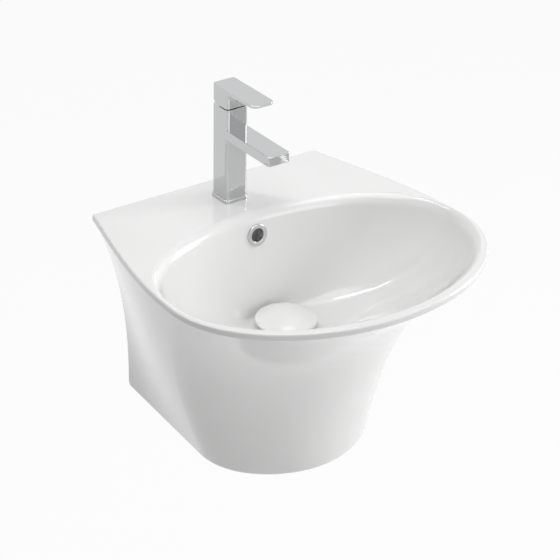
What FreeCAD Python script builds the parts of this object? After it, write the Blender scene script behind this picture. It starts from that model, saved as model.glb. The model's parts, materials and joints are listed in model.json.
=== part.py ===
import FreeCAD, Part
import math
import os

os.makedirs("parts", exist_ok=True)

# Wall hung basin with a one-piece shroud, a single lever tap and a push waste.
# Millimetres. X runs to the right along the wall, Y into the wall, Z up.
# The wall is the plane Y = 0, and the origin lies midway between the two wall bolts.
# In the names below "out" is a distance from the wall towards the user, and heights
# are measured from the top of the tap deck.

# ---- ceramic body: rim, seen from above ----
RIM_HALF_AT_WALL = 183.0
RIM_HALF_WIDTH = 235.0
RIM_WIDEST_OUT = 273.0
RIM_FRONT_OUT = 446.0
RIM_THICKNESS = 13.2
RIM_TOP_RADIUS = 5.5
RIM_UNDER_RADIUS = 3.0
CREASE_LEDGE = 0.5
ROUND_BANDS = 4
UNDER_BANDS = 2

# ---- ceramic body: foot of the shroud ----
FOOT_HALF_AT_WALL = 130.5
FOOT_HALF_WIDTH = 130.0
FOOT_WIDEST_OUT = 182.0
FOOT_FRONT_OUT = 281.5
FOOT_DROP_AT_WALL = 283.0
FOOT_DROP_AT_FRONT = 312.5
FOOT_EDGE_RADIUS = 3.5
FOOT_CORNER_RADIUS = 11.0

# ---- how the shroud opens from foot to rim ----
WALL_EDGE_FLARE = 2.4
WIDTH_FLARE = 1.0
FRONT_FLARE = 2.7
SIDE_BELLY = 1.35
ROUND_HANDLE = 0.5523
FOOT_SIDE_HANDLE = 0.60
FOOT_FRONT_HANDLE = 0.46
SHROUD_BANDS = 10
SHROUD_WALL = 11.0

# ---- back panel and wall bolts ----
PANEL_THICKNESS = 12.0
PANEL_DROP = 150.0
BOLT_DROP = 95.0
BOLT_SPACING = 180.0
BOLT_RADIUS = 5.0
BOLT_IN_WALL = 70.0
BOLT_IN_ROOM = 36.0
BOLT_POINT = 9.0
BOLT_THREAD_RADIUS = 4.9
BOLT_NECK_RADIUS = 4.3
BOLT_NECK_START = 9.0
BOLT_NECK = 8.0
BOLT_HOLE_RADIUS = 9.0
BUSH_FLANGE_RADIUS = 14.0
BUSH_FLANGE = 3.0
WASHER_RADIUS = 15.0
WASHER_THICKNESS = 2.5
BOLT_NUT_FLATS = 17.0
BOLT_NUT_HEIGHT = 8.0

# ---- bowl ----
BOWL_BACK_OUT = 118.7
BOWL_FRONT_OUT = 428.0
BOWL_HALF_WIDTH = 223.7
BOWL_WIDEST_OUT = 259.7
BOWL_DEPTH = 139.0
BOWL_FLOOR_RADIUS = 48.0
BOWL_WALL = 10.0
BOWL_EDGE_RADIUS = 4.5
BOWL_BACK_HANDLE = 0.45
BOWL_CORNER_HANDLE = 0.72
BOWL_BANDS = 14

# ---- waste outlet in the ceramic ----
DRAIN_OUT = 192.0
DRAIN_RADIUS = 23.0
SEAT_RADIUS = 34.5
SEAT_DEPTH = 3.5
HUB_RADIUS = 38.0
HUB_DROP = 181.0
CHAMBER_RADIUS = 31.0
CHAMBER_TOP = 153.0
CHAMBER_BOTTOM = 171.0

# ---- overflow ----
OVERFLOW_DROP = 30.0
OVERFLOW_HOLE_RADIUS = 11.5
OVERFLOW_TILT = 6.5
OVERFLOW_RING_RADIUS = 15.5
OVERFLOW_RING_LIP = 2.2
OVERFLOW_RING_BORE = 9.3
OVERFLOW_TUBE = 7.0
DUCT_TOP = 18.0
DUCT_DEPTH = 12.0
DUCT_HALF_WIDTH = 13.0
DUCT_WALL = 8.0
DUCT_INTO_BOWL = 1.0
DUCT_INTO_HUB = 4.0
DUCT_BEND_SET_BACK = 5.0
DUCT_BEND_RISE = 4.0
DUCT_HUB_SET_BACK = 3.0
DUCT_FLOOR_RISE = 2.0
DUCT_BACK_SLOPE = 4.0

# ---- waste fitting ----
WASTE_TUBE_RADIUS = 20.95
WASTE_BORE_RADIUS = 18.5
WASTE_FLANGE_RADIUS = 33.0
WASTE_FLANGE = 2.5
WASTE_LENGTH = 90.0
WASTE_FUNNEL_RADIUS = 25.0
TOP_SEAL = 1.2
SLOT_WIDTH = 13.0
SLOT_MARGIN = 3.0
SLOT_COUNT = 4
BOTTOM_SEAL = 4.0
BOTTOM_SEAL_RADIUS = 34.0
BACK_NUT_RADIUS = 31.0
BACK_NUT_HEIGHT = 12.0
BACK_NUT_LUGS = 6
BACK_NUT_SCALLOP = 7.0
BACK_NUT_SCALLOP_OUT = 3.0
BACK_NUT_COLLAR = 3.0
THREAD_CLEARANCE = 0.05
THREAD_END = 1.5
THREAD_DEPTH = 0.6
GUIDE_DROP_IN_TUBE = 5.0
GUIDE_RING = 6.0
GUIDE_RING_WALL = 2.0
GUIDE_ARM = 3.0
GUIDE_ARMS = 3
GUIDE_LENGTH = 34.0
GUIDE_WALL = 2.4
GUIDE_FLOOR = 3.0
STEM_RADIUS = 4.3
STEM_CLEARANCE = 0.3
STEM_BELOW_CAP = 32.0
STEM_IN_CAP = 4.0
CAP_RADIUS = 42.0
CAP_EDGE = 4.0
CAP_CROWN = 12.0
CAP_ROUNDING = 1.5
CAP_BANDS = 8
CAP_TRAVEL = 8.0
CAP_BOSS_RADIUS = 8.0
CAP_BOSS = 5.7
CAP_SEAL = 2.5
CAP_SEAL_RADIUS = 30.0
CAP_SEAL_INNER = 26.0
CLOSED_GAP = 0.1
SPRING_RADIUS = 3.9
SPRING_WIRE = 0.9
SPRING_COILS = 6
SPRING_STEPS = 12

# ---- tap ----
TAP_OUT = 55.7
TAP_HOLE_RADIUS = 16.0
TAP_SIDE = 34.5
TAP_CORNER = 3.5
BASE_SIDE = 37.6
BASE_HEIGHT = 5.3
BASE_EDGE = 1.0
BASE_HOLE_RADIUS = 15.0
GASKET_THICKNESS = 1.2
GASKET_RING = 2.0
BODY_TOP = 137.3
SPOUT_TOP = 108.1
SPOUT_THICKNESS = 13.8
SPOUT_REACH = 114.5
SPOUT_CORNER = 4.0
SPOUT_EDGE = 1.2
SPOUT_EDGE_START = 6.0
POCKET_FLOOR = 112.0
INLET_SIDE = 7.5
INLET_BACK = 3.0
INLET_RADIUS = 3.0
INLET_THREAD_RADIUS = 4.5
INLET_THREAD_DEPTH = 14.0
OUTLET_FORWARD = 6.0
OUTLET_RADIUS = 3.5
WATERWAY_RADIUS = 4.0
AERATOR_FROM_TIP = 17.0
AERATOR_RADIUS = 11.8
AERATOR_BORE = 9.8
AERATOR_RECESS = 9.0
AERATOR_PROUD = 3.0
AERATOR_LIP = 1.2
AERATOR_HOLE = 2.0
AERATOR_HOLE_PITCH = 3.4

# ---- tap cartridge ----
CARTRIDGE_RADIUS = 12.5
CARTRIDGE_CLEARANCE = 0.1
CARTRIDGE_TOP = 132.8
CARTRIDGE_FLOOR = 4.6
PORT_SEAL = 1.2
PORT_SEAL_WALL = 1.4
ROTOR_RADIUS = 9.8
ROTOR_CLEARANCE = 0.2
ROTOR_TOP_PLAY = 0.5
NUT_RADIUS = 14.5
NUT_BELOW_TOP = 0.3
NUT_LIP = 1.0
NUT_LIP_BORE = 9.4
NUT_BORE = 10.4
PIVOT_BACK = 3.0
PIVOT_HEIGHT = 128.5
PIN_RADIUS = 1.5
PIN_HALF_LENGTH = 8.5
STEM_SIDE = 6.0
LEVER_STEM_BELOW_PIVOT = 7.0
LEVER_STEM_ABOVE_GRUB = 4.5
STEM_SLOT_CLEARANCE = 0.3

# ---- tap lever ----
LEVER_GAP = 1.5
LEVER_TOP = 166.5
BLADE_REACH = 79.5
BLADE_ROOT = 5.5
BLADE_TIP = 3.0
BLADE_TIP_CORNER = 6.0
LEVER_EDGE = 0.8
HEEL_START = 4.5
HEEL_MIDDLE = 10.5
HEEL_MIDDLE_RISE = 2.4
HEEL_RISE = 8.0
LEVER_TILT = 20.0
GRUB_RADIUS = 2.0
GRUB_LENGTH = 8.0
GRUB_RISE = 11.2
INDEX_RADIUS = 3.0
INDEX_THICKNESS = 1.4

# ---- tap fixing under the deck ----
TAP_STUD_RADIUS = 4.0
TAP_STUD_FORWARD = 10.0
TAP_STUD_IN_BODY = 12.0
TAP_STUD_BELOW_DECK = 35.0
HORSESHOE_RADIUS = 23.0
HORSESHOE_SLOT = 26.0
STUD_CUSHION = 3.0
HORSESHOE_RUBBER = 3.0
HORSESHOE_PLATE = 2.5
STUD_NUT_FLATS = 13.0
STUD_NUT_HEIGHT = 15.0

FIT = 0.1
PAST = 10.0
OVERSHOOT = 1.0

# ---- heights that follow ----
FLOOR = -BOWL_DEPTH
SEAT = FLOOR - SEAT_DEPTH
FLANGE_TOP = SEAT + TOP_SEAL + WASTE_FLANGE
WASTE_END = FLANGE_TOP - WASTE_FLANGE - WASTE_LENGTH
GUIDE_TOP = FLANGE_TOP - WASTE_FLANGE - GUIDE_DROP_IN_TUBE
GUIDE_END = GUIDE_TOP - GUIDE_LENGTH
CAP_CLOSED = FLANGE_TOP + CLOSED_GAP + CAP_SEAL
CAP_UNDERSIDE = CAP_CLOSED + CAP_TRAVEL
STEM_END = CAP_UNDERSIDE - STEM_BELOW_CAP
LEVER_BOTTOM = BODY_TOP + LEVER_GAP
GRUB_HEIGHT = LEVER_BOTTOM + GRUB_RISE
LEVER_STEM_TOP = GRUB_HEIGHT + LEVER_STEM_ABOVE_GRUB
TAP_HALF = TAP_SIDE / 2.0
SPOUT_BOTTOM = SPOUT_TOP - SPOUT_THICKNESS
WATERWAY_HEIGHT = SPOUT_TOP - SPOUT_THICKNESS / 2.0
AERATOR_FORWARD = SPOUT_REACH - AERATOR_FROM_TIP
CARTRIDGE_BOTTOM = POCKET_FLOOR + PORT_SEAL
ROTOR_BOTTOM = CARTRIDGE_BOTTOM + CARTRIDGE_FLOOR + ROTOR_CLEARANCE
BUSH_FACE = PANEL_THICKNESS + BUSH_FLANGE
WASHER_FACE = BUSH_FACE + WASHER_THICKNESS


def at(x, out, height):
    """A point given across, out from the wall and above the deck."""
    return FreeCAD.Vector(x, -out, height + BOLT_DROP)


UP = FreeCAD.Vector(0, 0, 1)
OUTWARD = FreeCAD.Vector(0, -1, 0)
ACROSS = FreeCAD.Vector(1, 0, 0)


def post(radius, bottom, top, out, x=0.0):
    """An upright round bar."""
    return Part.makeCylinder(radius, top - bottom, at(x, out, bottom), UP)


def tube(radius, bore, bottom, top, out, x=0.0):
    """An upright round tube."""
    outer = post(radius, bottom, top, out, x)
    return outer.cut(post(bore, bottom - OVERSHOOT, top + OVERSHOOT, out, x))


def rod_out(radius, start, end, x, height):
    """A round bar square to the wall."""
    return Part.makeCylinder(radius, end - start, at(x, start, height), OUTWARD)


def rod_across(radius, half_length, out, height):
    """A round bar along the wall."""
    return Part.makeCylinder(radius, 2 * half_length, at(-half_length, out, height), ACROSS)


def block(half_width, out_near, out_far, bottom, top):
    """A rectangular block centred on the middle plane."""
    corner = at(-half_width, out_far, bottom)
    return Part.makeBox(2 * half_width, out_far - out_near, top - bottom, corner)


def hexagon_corners(radius, base, direction):
    """A closed hexagon round a base point, square to a direction."""
    side = FreeCAD.Rotation(UP, direction)
    corners = []
    for step in range(7):
        turn = math.radians(60 * step)
        corner = FreeCAD.Vector(radius * math.cos(turn), radius * math.sin(turn), 0)
        corners.append(base + side.multVec(corner))
    return corners


def hexagon(flats, thickness, base, direction):
    """A nut blank, from its base point along a direction."""
    corners = hexagon_corners(flats / math.sqrt(3.0), base, direction)
    return Part.Face(Part.makePolygon(corners)).extrude(direction * thickness)


def turned(points, out):
    """A solid turned about an upright axis from a (radius, height) outline."""
    corners = [at(radius, out, height) for radius, height in points]
    face = Part.Face(Part.makePolygon(corners + corners[:1]))
    return face.revolve(at(0, out, 0), UP, 360)


def bar(half_width, points):
    """A side view of (out, height) points, carried across the middle plane."""
    corners = [at(-half_width, out, height) for out, height in points]
    face = Part.Face(Part.makePolygon(corners + corners[:1]))
    return face.extrude(ACROSS * (2 * half_width))


def upright_edges(shape, keep):
    """The shape's vertical edges whose middle passes the test."""
    chosen = []
    for edge in shape.Edges:
        box = edge.BoundBox
        if box.XLength + box.YLength < 0.01 and keep(box.Center):
            chosen.append(edge)
    return chosen


def blend(low, high, share):
    return low + (high - low) * share


def bezier(poles):
    curve = Part.BezierCurve()
    curve.setPoles(poles)
    return curve.toShape()


# ---- the ceramic body ----

def body_outline(at_wall, half, widest_out, front_out, side_handle, front_handle, level):
    """A closed outline: straight at the wall, swelling sides and a round front.

    It starts PAST mm behind the wall, where it is cut off later. level gives the
    height of a point from its distance out, so an outline may lie on a slope."""
    lean = SIDE_BELLY * (half - at_wall) / widest_out
    start = at_wall - lean * PAST
    third = (widest_out + PAST) / 3.0
    bulge = side_handle * (front_out - widest_out)
    quarter = [
        (start, -PAST),
        (start + lean * third, third - PAST),
        (half, widest_out - third),
        (half, widest_out),
        (half, widest_out + bulge),
        (front_handle * half, front_out),
        (0.0, front_out),
    ]
    right = [at(x, out, level(out)) for x, out in quarter]
    left = [at(-x, out, level(out)) for x, out in quarter]
    edges = [Part.makeLine(left[0], right[0])]
    edges.append(bezier(right[:4]))
    edges.append(bezier(right[3:]))
    edges.append(bezier(left[3:][::-1]))
    edges.append(bezier(left[:4][::-1]))
    return Part.Wire(edges)


def shroud_section(share, inset):
    """The shroud's outline between its foot (share 0) and the rim (share 1)."""
    size = max(share, 0.0)
    spread = size ** FRONT_FLARE

    def level(out):
        slope = (FOOT_DROP_AT_FRONT - FOOT_DROP_AT_WALL) / FOOT_FRONT_OUT
        foot = FOOT_DROP_AT_WALL + slope * out
        return -RIM_THICKNESS - (foot - RIM_THICKNESS) * (1.0 - share)

    return body_outline(
        blend(FOOT_HALF_AT_WALL, RIM_HALF_AT_WALL, size ** WALL_EDGE_FLARE) - inset,
        blend(FOOT_HALF_WIDTH, RIM_HALF_WIDTH, size ** WIDTH_FLARE) - inset,
        blend(FOOT_WIDEST_OUT, RIM_WIDEST_OUT, spread),
        blend(FOOT_FRONT_OUT, RIM_FRONT_OUT, spread) - inset,
        blend(FOOT_SIDE_HANDLE, ROUND_HANDLE, size),
        blend(FOOT_FRONT_HANDLE, ROUND_HANDLE, size),
        level,
    )


def rim_outline(inset, height):
    return body_outline(
        RIM_HALF_AT_WALL - inset,
        RIM_HALF_WIDTH - inset,
        RIM_WIDEST_OUT,
        RIM_FRONT_OUT - inset,
        ROUND_HANDLE,
        ROUND_HANDLE,
        lambda out: height,
    )


def quarter_round(radius, steps):
    """The (inset, drop) pairs down a rounded edge, from its top to its side."""
    pairs = []
    for step in range(steps + 1):
        turn = math.pi / 2.0 * step / steps
        pairs.append((radius * (1.0 - math.sin(turn)), radius * (1.0 - math.cos(turn))))
    return pairs


def rim_slab():
    """The deck and rim: a slab with rounded upper and lower edges, in narrow bands."""
    sections = []
    for inset, drop in quarter_round(RIM_TOP_RADIUS, ROUND_BANDS):
        sections.append(rim_outline(inset, -drop))
    for inset, rise in quarter_round(RIM_UNDER_RADIUS, UNDER_BANDS)[::-1]:
        sections.append(rim_outline(inset, rise - RIM_THICKNESS))
    return Part.makeLoft(sections, True, True)


def shroud_sections(inset_at_foot, inset_at_rim, bands):
    """Outlines from the rim down to the foot."""
    sections = []
    for step in range(bands + 1):
        share = 1.0 - step / bands
        sections.append(shroud_section(share, blend(inset_at_foot, inset_at_rim, share)))
    return sections


def shroud_solid():
    """The tapering shroud under the rim, in level bands with a rounded foot."""
    sections = shroud_sections(0.0, RIM_UNDER_RADIUS + CREASE_LEDGE, SHROUD_BANDS)[:-1]
    height = FOOT_DROP_AT_WALL - RIM_THICKNESS
    for inset, rise in quarter_round(FOOT_EDGE_RADIUS, UNDER_BANDS)[::-1]:
        sections.append(shroud_section(rise / height, inset))
    return Part.makeLoft(sections, True, True)


def shroud_hollow():
    """The space inside the shroud, open below, and at the wall under the back panel."""
    sections = shroud_sections(SHROUD_WALL, SHROUD_WALL, SHROUD_BANDS)
    sections.append(shroud_section(-PAST / FOOT_DROP_AT_WALL, SHROUD_WALL))
    hollow = Part.makeLoft(sections, True, True)
    panel = block(RIM_HALF_WIDTH, -2 * PAST, PANEL_THICKNESS, -PANEL_DROP, PAST)
    return hollow.cut(panel)


def bowl_section(depth_share, grow, deeper=0.0):
    """A level slice of the bowl, between its opening (0) and its floor (1)."""
    gone = max(depth_share, 0.0)
    half = blend(BOWL_FLOOR_RADIUS, BOWL_HALF_WIDTH, (1.0 - gone ** 1.4) ** 0.5)
    front_floor = DRAIN_OUT + BOWL_FLOOR_RADIUS
    front = blend(front_floor, BOWL_FRONT_OUT, (1.0 - gone ** 1.25) ** 0.95)
    back_floor = DRAIN_OUT - BOWL_FLOOR_RADIUS
    back = blend(back_floor, BOWL_BACK_OUT, (1.0 - gone ** 1.5) ** 0.9)
    widest = blend(DRAIN_OUT, BOWL_WIDEST_OUT, (1.0 - gone ** 1.4) ** 0.6)
    back_handle = blend(BOWL_BACK_HANDLE, ROUND_HANDLE, gone)
    corner_handle = blend(BOWL_CORNER_HANDLE, ROUND_HANDLE, gone)
    half += grow
    front += grow
    back -= grow
    height = -(BOWL_DEPTH + deeper) * depth_share
    outline = [
        (0.0, back),
        (back_handle * half, back),
        (half, blend(widest, back, corner_handle)),
        (half, widest),
        (half, blend(widest, front, ROUND_HANDLE)),
        (ROUND_HANDLE * half, front),
        (0.0, front),
    ]
    right = [at(x, out, height) for x, out in outline]
    left = [at(-x, out, height) for x, out in outline]
    edges = [bezier(right[:4]), bezier(right[3:])]
    edges.append(bezier(left[3:][::-1]))
    edges.append(bezier(left[:4][::-1]))
    return Part.Wire(edges)


def bowl_space(grow, above):
    """The bowl as a solid, grown by a wall and carried up past the deck."""
    sections = [bowl_section(-above / (BOWL_DEPTH + grow), grow, grow)]
    for band in range(BOWL_BANDS + 1):
        depth_share = math.sin(math.pi / 2.0 * band / BOWL_BANDS)
        sections.append(bowl_section(depth_share, grow, grow))
    return Part.makeLoft(sections, True, True)


def bowl_edge():
    """What the rounded edge of the opening takes off round the bowl, in narrow bands."""
    sections = [bowl_section(-PAST / BOWL_DEPTH, BOWL_EDGE_RADIUS)]
    for inset, drop in quarter_round(BOWL_EDGE_RADIUS, ROUND_BANDS):
        sections.append(bowl_section(drop / BOWL_DEPTH, inset))
    return Part.makeLoft(sections, True, True)


def duct_profile(wall):
    """Side view of the overflow channel behind the bowl, with a wall round it."""
    face = BOWL_BACK_OUT - BOWL_WALL + DUCT_INTO_BOWL + wall
    back = face - DUCT_DEPTH - 2 * wall
    shift = DRAIN_OUT - BOWL_FLOOR_RADIUS - BOWL_BACK_OUT
    into_hub = DRAIN_OUT - CHAMBER_RADIUS + DUCT_INTO_HUB + 2 * wall
    return [
        (back, -DUCT_TOP + wall),
        (face, -DUCT_TOP + wall),
        (face + shift - DUCT_BEND_SET_BACK, -BOWL_DEPTH + DUCT_BEND_RISE),
        (face + shift - DUCT_HUB_SET_BACK, -CHAMBER_TOP + wall),
        (into_hub, -CHAMBER_TOP + wall),
        (into_hub, -CHAMBER_BOTTOM + DUCT_FLOOR_RISE - wall),
        (back + shift, -CHAMBER_BOTTOM + DUCT_FLOOR_RISE - wall),
        (back + shift - DUCT_BACK_SLOPE, -BOWL_DEPTH),
    ]


def overflow_frame(shape):
    """Tip a shape made at the overflow to lie square to the sloping bowl wall."""
    pivot = at(0, overflow_out(), -OVERFLOW_DROP)
    shape.rotate(pivot, ACROSS, -OVERFLOW_TILT)
    return shape


def overflow_out():
    """How far out the bowl's back wall is at the overflow."""
    gone = OVERFLOW_DROP / BOWL_DEPTH
    back_floor = DRAIN_OUT - BOWL_FLOOR_RADIUS
    return blend(back_floor, BOWL_BACK_OUT, (1.0 - gone ** 1.5) ** 0.9) + 0.4


def basin():
    outer = rim_slab().fuse(shroud_solid())
    behind = block(2 * RIM_HALF_WIDTH, -3 * PAST, 0.0, -2 * FOOT_DROP_AT_FRONT, 2 * PAST)
    outer = outer.cut(behind)
    corner_low = -FOOT_DROP_AT_WALL + FOOT_CORNER_RADIUS
    corner = block(RIM_HALF_WIDTH, -OVERSHOOT, FOOT_CORNER_RADIUS, corner_low - 2 * PAST, corner_low)
    rounding = rod_across(FOOT_CORNER_RADIUS, RIM_HALF_WIDTH + OVERSHOOT, FOOT_CORNER_RADIUS, corner_low)
    outer = outer.cut(corner.cut(rounding))

    hub = post(HUB_RADIUS, -HUB_DROP, FLOOR, DRAIN_OUT)
    duct = bar(DUCT_HALF_WIDTH + DUCT_WALL, duct_profile(DUCT_WALL))
    kept = [bowl_space(BOWL_WALL, PAST), hub, duct]
    shell = outer.cut(shroud_hollow().cut(kept))

    shell = shell.cut([bowl_space(0.0, PAST), bowl_edge()])

    cuts = [bar(DUCT_HALF_WIDTH, duct_profile(0.0))]
    cuts.append(post(CHAMBER_RADIUS, -CHAMBER_BOTTOM, -CHAMBER_TOP, DRAIN_OUT))
    cuts.append(post(DRAIN_RADIUS, -HUB_DROP - OVERSHOOT, FLOOR + OVERSHOOT, DRAIN_OUT))
    cuts.append(post(SEAT_RADIUS, SEAT, FLOOR + OVERSHOOT, DRAIN_OUT))
    cuts.append(post(TAP_HOLE_RADIUS, -RIM_THICKNESS - OVERSHOOT, 1.0, TAP_OUT))
    seat_out = overflow_out()
    hole = rod_out(OVERFLOW_HOLE_RADIUS, seat_out - BOWL_WALL - 2.0, seat_out + OVERSHOOT, 0, -OVERFLOW_DROP)
    cuts.append(overflow_frame(hole))
    face = rod_out(OVERFLOW_RING_RADIUS + 0.4, seat_out, seat_out + 3.0, 0, -OVERFLOW_DROP)
    cuts.append(overflow_frame(face))
    for side in (-1, 1):
        x = side * BOLT_SPACING / 2.0
        cuts.append(rod_out(BOLT_HOLE_RADIUS, -OVERSHOOT, PANEL_THICKNESS + OVERSHOOT, x, -BOLT_DROP))
    return shell.cut(cuts)


def overflow_ring():
    seat_out = overflow_out()
    lip = rod_out(OVERFLOW_RING_RADIUS, seat_out, seat_out + OVERFLOW_RING_LIP, 0, -OVERFLOW_DROP)
    front_edges = [edge for edge in lip.Edges if edge.BoundBox.YMax < -seat_out - 1.0]
    lip = lip.makeChamfer(OVERFLOW_RING_LIP * 0.5, front_edges)
    neck_radius = OVERFLOW_HOLE_RADIUS - FIT
    neck = rod_out(neck_radius, seat_out - OVERFLOW_TUBE, seat_out + OVERSHOOT, 0, -OVERFLOW_DROP)
    bore_end = seat_out + OVERFLOW_RING_LIP + OVERSHOOT
    bore = rod_out(OVERFLOW_RING_BORE, seat_out - OVERFLOW_TUBE - OVERSHOOT, bore_end, 0, -OVERFLOW_DROP)
    return overflow_frame(lip.fuse(neck).cut(bore))


# ---- wall fixings ----

def both_sides(make):
    """The same piece at the left and right wall bolt."""
    half = BOLT_SPACING / 2.0
    return Part.makeCompound([make(-half), make(half)])


def wall_bolt(x):
    """A hanger bolt: a screw thread in the wall, a plain neck, and a machine thread for the nut."""
    neck_end = BOLT_NECK_START + BOLT_NECK
    screw = rod_out(BOLT_RADIUS, -BOLT_IN_WALL + BOLT_POINT, -neck_end, x, -BOLT_DROP)
    neck = rod_out(BOLT_NECK_RADIUS, -neck_end, -BOLT_NECK_START, x, -BOLT_DROP)
    thread = rod_out(BOLT_THREAD_RADIUS, -BOLT_NECK_START, BOLT_IN_ROOM, x, -BOLT_DROP)
    base = at(x, -BOLT_IN_WALL + BOLT_POINT, -BOLT_DROP)
    point = Part.makeCone(BOLT_RADIUS, 1.0, BOLT_POINT, base, OUTWARD * -1.0)
    return screw.fuse([neck, thread, point])


def bolt_bush(x):
    sleeve = rod_out(BOLT_HOLE_RADIUS - FIT, 0.5, PANEL_THICKNESS, x, -BOLT_DROP)
    flange = rod_out(BUSH_FLANGE_RADIUS, PANEL_THICKNESS, BUSH_FACE, x, -BOLT_DROP)
    bore = rod_out(BOLT_RADIUS + FIT, -OVERSHOOT, BUSH_FACE + OVERSHOOT, x, -BOLT_DROP)
    return sleeve.fuse(flange).cut(bore)


def bolt_washer(x):
    disc = rod_out(WASHER_RADIUS, BUSH_FACE, WASHER_FACE, x, -BOLT_DROP)
    return disc.cut(rod_out(BOLT_RADIUS + FIT, BUSH_FACE - OVERSHOOT, WASHER_FACE + OVERSHOOT, x, -BOLT_DROP))


def bolt_nut(x):
    blank = hexagon(BOLT_NUT_FLATS, BOLT_NUT_HEIGHT, at(x, WASHER_FACE, -BOLT_DROP), OUTWARD)
    end = WASHER_FACE + BOLT_NUT_HEIGHT + OVERSHOOT
    bore = rod_out(BOLT_THREAD_RADIUS + THREAD_CLEARANCE, WASHER_FACE - OVERSHOOT, end, x, -BOLT_DROP)
    return blank.cut(bore)


# ---- waste ----

def waste_body():
    flange_under = FLANGE_TOP - WASTE_FLANGE
    flange = post(WASTE_FLANGE_RADIUS, flange_under, FLANGE_TOP, DRAIN_OUT)
    rim = [edge for edge in flange.Edges if edge.BoundBox.ZMin > at(0, 0, FLANGE_TOP).z - 0.01]
    flange = flange.makeChamfer(WASTE_FLANGE * 0.4, rim)
    body = flange.fuse(post(WASTE_TUBE_RADIUS, WASTE_END, flange_under, DRAIN_OUT))
    body = body.cut(post(WASTE_BORE_RADIUS, WASTE_END - OVERSHOOT, FLANGE_TOP + OVERSHOOT, DRAIN_OUT))
    funnel_depth = WASTE_FLANGE + 1.0
    funnel = Part.makeCone(
        WASTE_BORE_RADIUS,
        WASTE_FUNNEL_RADIUS,
        funnel_depth,
        at(0, DRAIN_OUT, FLANGE_TOP - funnel_depth),
        UP,
    )
    body = body.cut(funnel)
    for number in range(SLOT_COUNT // 2):
        low = -CHAMBER_BOTTOM + SLOT_MARGIN
        high = -CHAMBER_TOP - SLOT_MARGIN
        reach = WASTE_TUBE_RADIUS + OVERSHOOT
        slot = block(SLOT_WIDTH / 2.0, DRAIN_OUT - reach, DRAIN_OUT + reach, low, high)
        slot.rotate(at(0, DRAIN_OUT, low), UP, 90 * number)
        body = body.cut(slot)
    groove_top = -HUB_DROP - BOTTOM_SEAL - BACK_NUT_HEIGHT - THREAD_END
    groove_radius = WASTE_TUBE_RADIUS - THREAD_DEPTH
    groove = tube(WASTE_TUBE_RADIUS + OVERSHOOT, groove_radius, groove_top - THREAD_END, groove_top, DRAIN_OUT)
    return body.cut(groove)


def waste_top_seal():
    return tube(WASTE_FLANGE_RADIUS - 1.0, DRAIN_RADIUS + 0.5, SEAT, SEAT + TOP_SEAL, DRAIN_OUT)


def waste_bottom_seal():
    top = -HUB_DROP
    return tube(BOTTOM_SEAL_RADIUS, WASTE_TUBE_RADIUS + FIT, top - BOTTOM_SEAL, top, DRAIN_OUT)


def waste_back_nut():
    top = -HUB_DROP - BOTTOM_SEAL
    nut = tube(BACK_NUT_RADIUS, WASTE_TUBE_RADIUS + THREAD_CLEARANCE, top - BACK_NUT_HEIGHT, top, DRAIN_OUT)
    for number in range(BACK_NUT_LUGS):
        turn = math.radians(360.0 / BACK_NUT_LUGS * number)
        x = (BACK_NUT_RADIUS + BACK_NUT_SCALLOP_OUT) * math.sin(turn)
        out = DRAIN_OUT + (BACK_NUT_RADIUS + BACK_NUT_SCALLOP_OUT) * math.cos(turn)
        low = top - BACK_NUT_HEIGHT - OVERSHOOT
        nut = nut.cut(post(BACK_NUT_SCALLOP, low, top - BACK_NUT_COLLAR, out, x))
    return nut


def waste_guide():
    """The spider that carries the stem, held in the waste's bore."""
    ring_outer = WASTE_BORE_RADIUS - THREAD_CLEARANCE
    guide = tube(ring_outer, ring_outer - GUIDE_RING_WALL, GUIDE_TOP - GUIDE_RING, GUIDE_TOP, DRAIN_OUT)
    barrel_radius = STEM_RADIUS + STEM_CLEARANCE + GUIDE_WALL
    guide = guide.fuse(post(barrel_radius, GUIDE_END, GUIDE_TOP, DRAIN_OUT))
    for number in range(GUIDE_ARMS):
        far = DRAIN_OUT + ring_outer - GUIDE_RING_WALL / 2.0
        arm = block(GUIDE_ARM / 2.0, DRAIN_OUT, far, GUIDE_TOP - GUIDE_RING, GUIDE_TOP)
        arm.rotate(at(0, DRAIN_OUT, GUIDE_TOP), UP, 360.0 / GUIDE_ARMS * number)
        guide = guide.fuse(arm)
    bore = post(STEM_RADIUS + STEM_CLEARANCE, GUIDE_END + GUIDE_FLOOR, GUIDE_TOP + OVERSHOOT, DRAIN_OUT)
    return guide.cut(bore)


def waste_spring():
    """The return spring under the stem, its turns in short straight steps."""
    low = GUIDE_END + GUIDE_FLOOR + SPRING_WIRE / 2.0 + FIT
    high = STEM_END - SPRING_WIRE / 2.0 - FIT
    mean = SPRING_RADIUS - SPRING_WIRE / 2.0
    steps = SPRING_COILS * SPRING_STEPS
    turn = 2.0 * math.pi / SPRING_STEPS
    points = []
    for step in range(steps + 1):
        x = mean * math.sin(turn * step)
        forward = mean * math.cos(turn * step)
        points.append(at(x, DRAIN_OUT + forward, blend(low, high, step / steps)))
    path = Part.makePolygon(points)
    wire = Part.makePolygon(hexagon_corners(SPRING_WIRE / 2.0, points[0], points[1] - points[0]))
    print("spring gap between turns", round((high - low) / SPRING_COILS - SPRING_WIRE, 2))
    return path.makePipeShell([wire], True, False, 1)


def waste_stem():
    return post(STEM_RADIUS, STEM_END, CAP_UNDERSIDE + STEM_IN_CAP, DRAIN_OUT)


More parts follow.
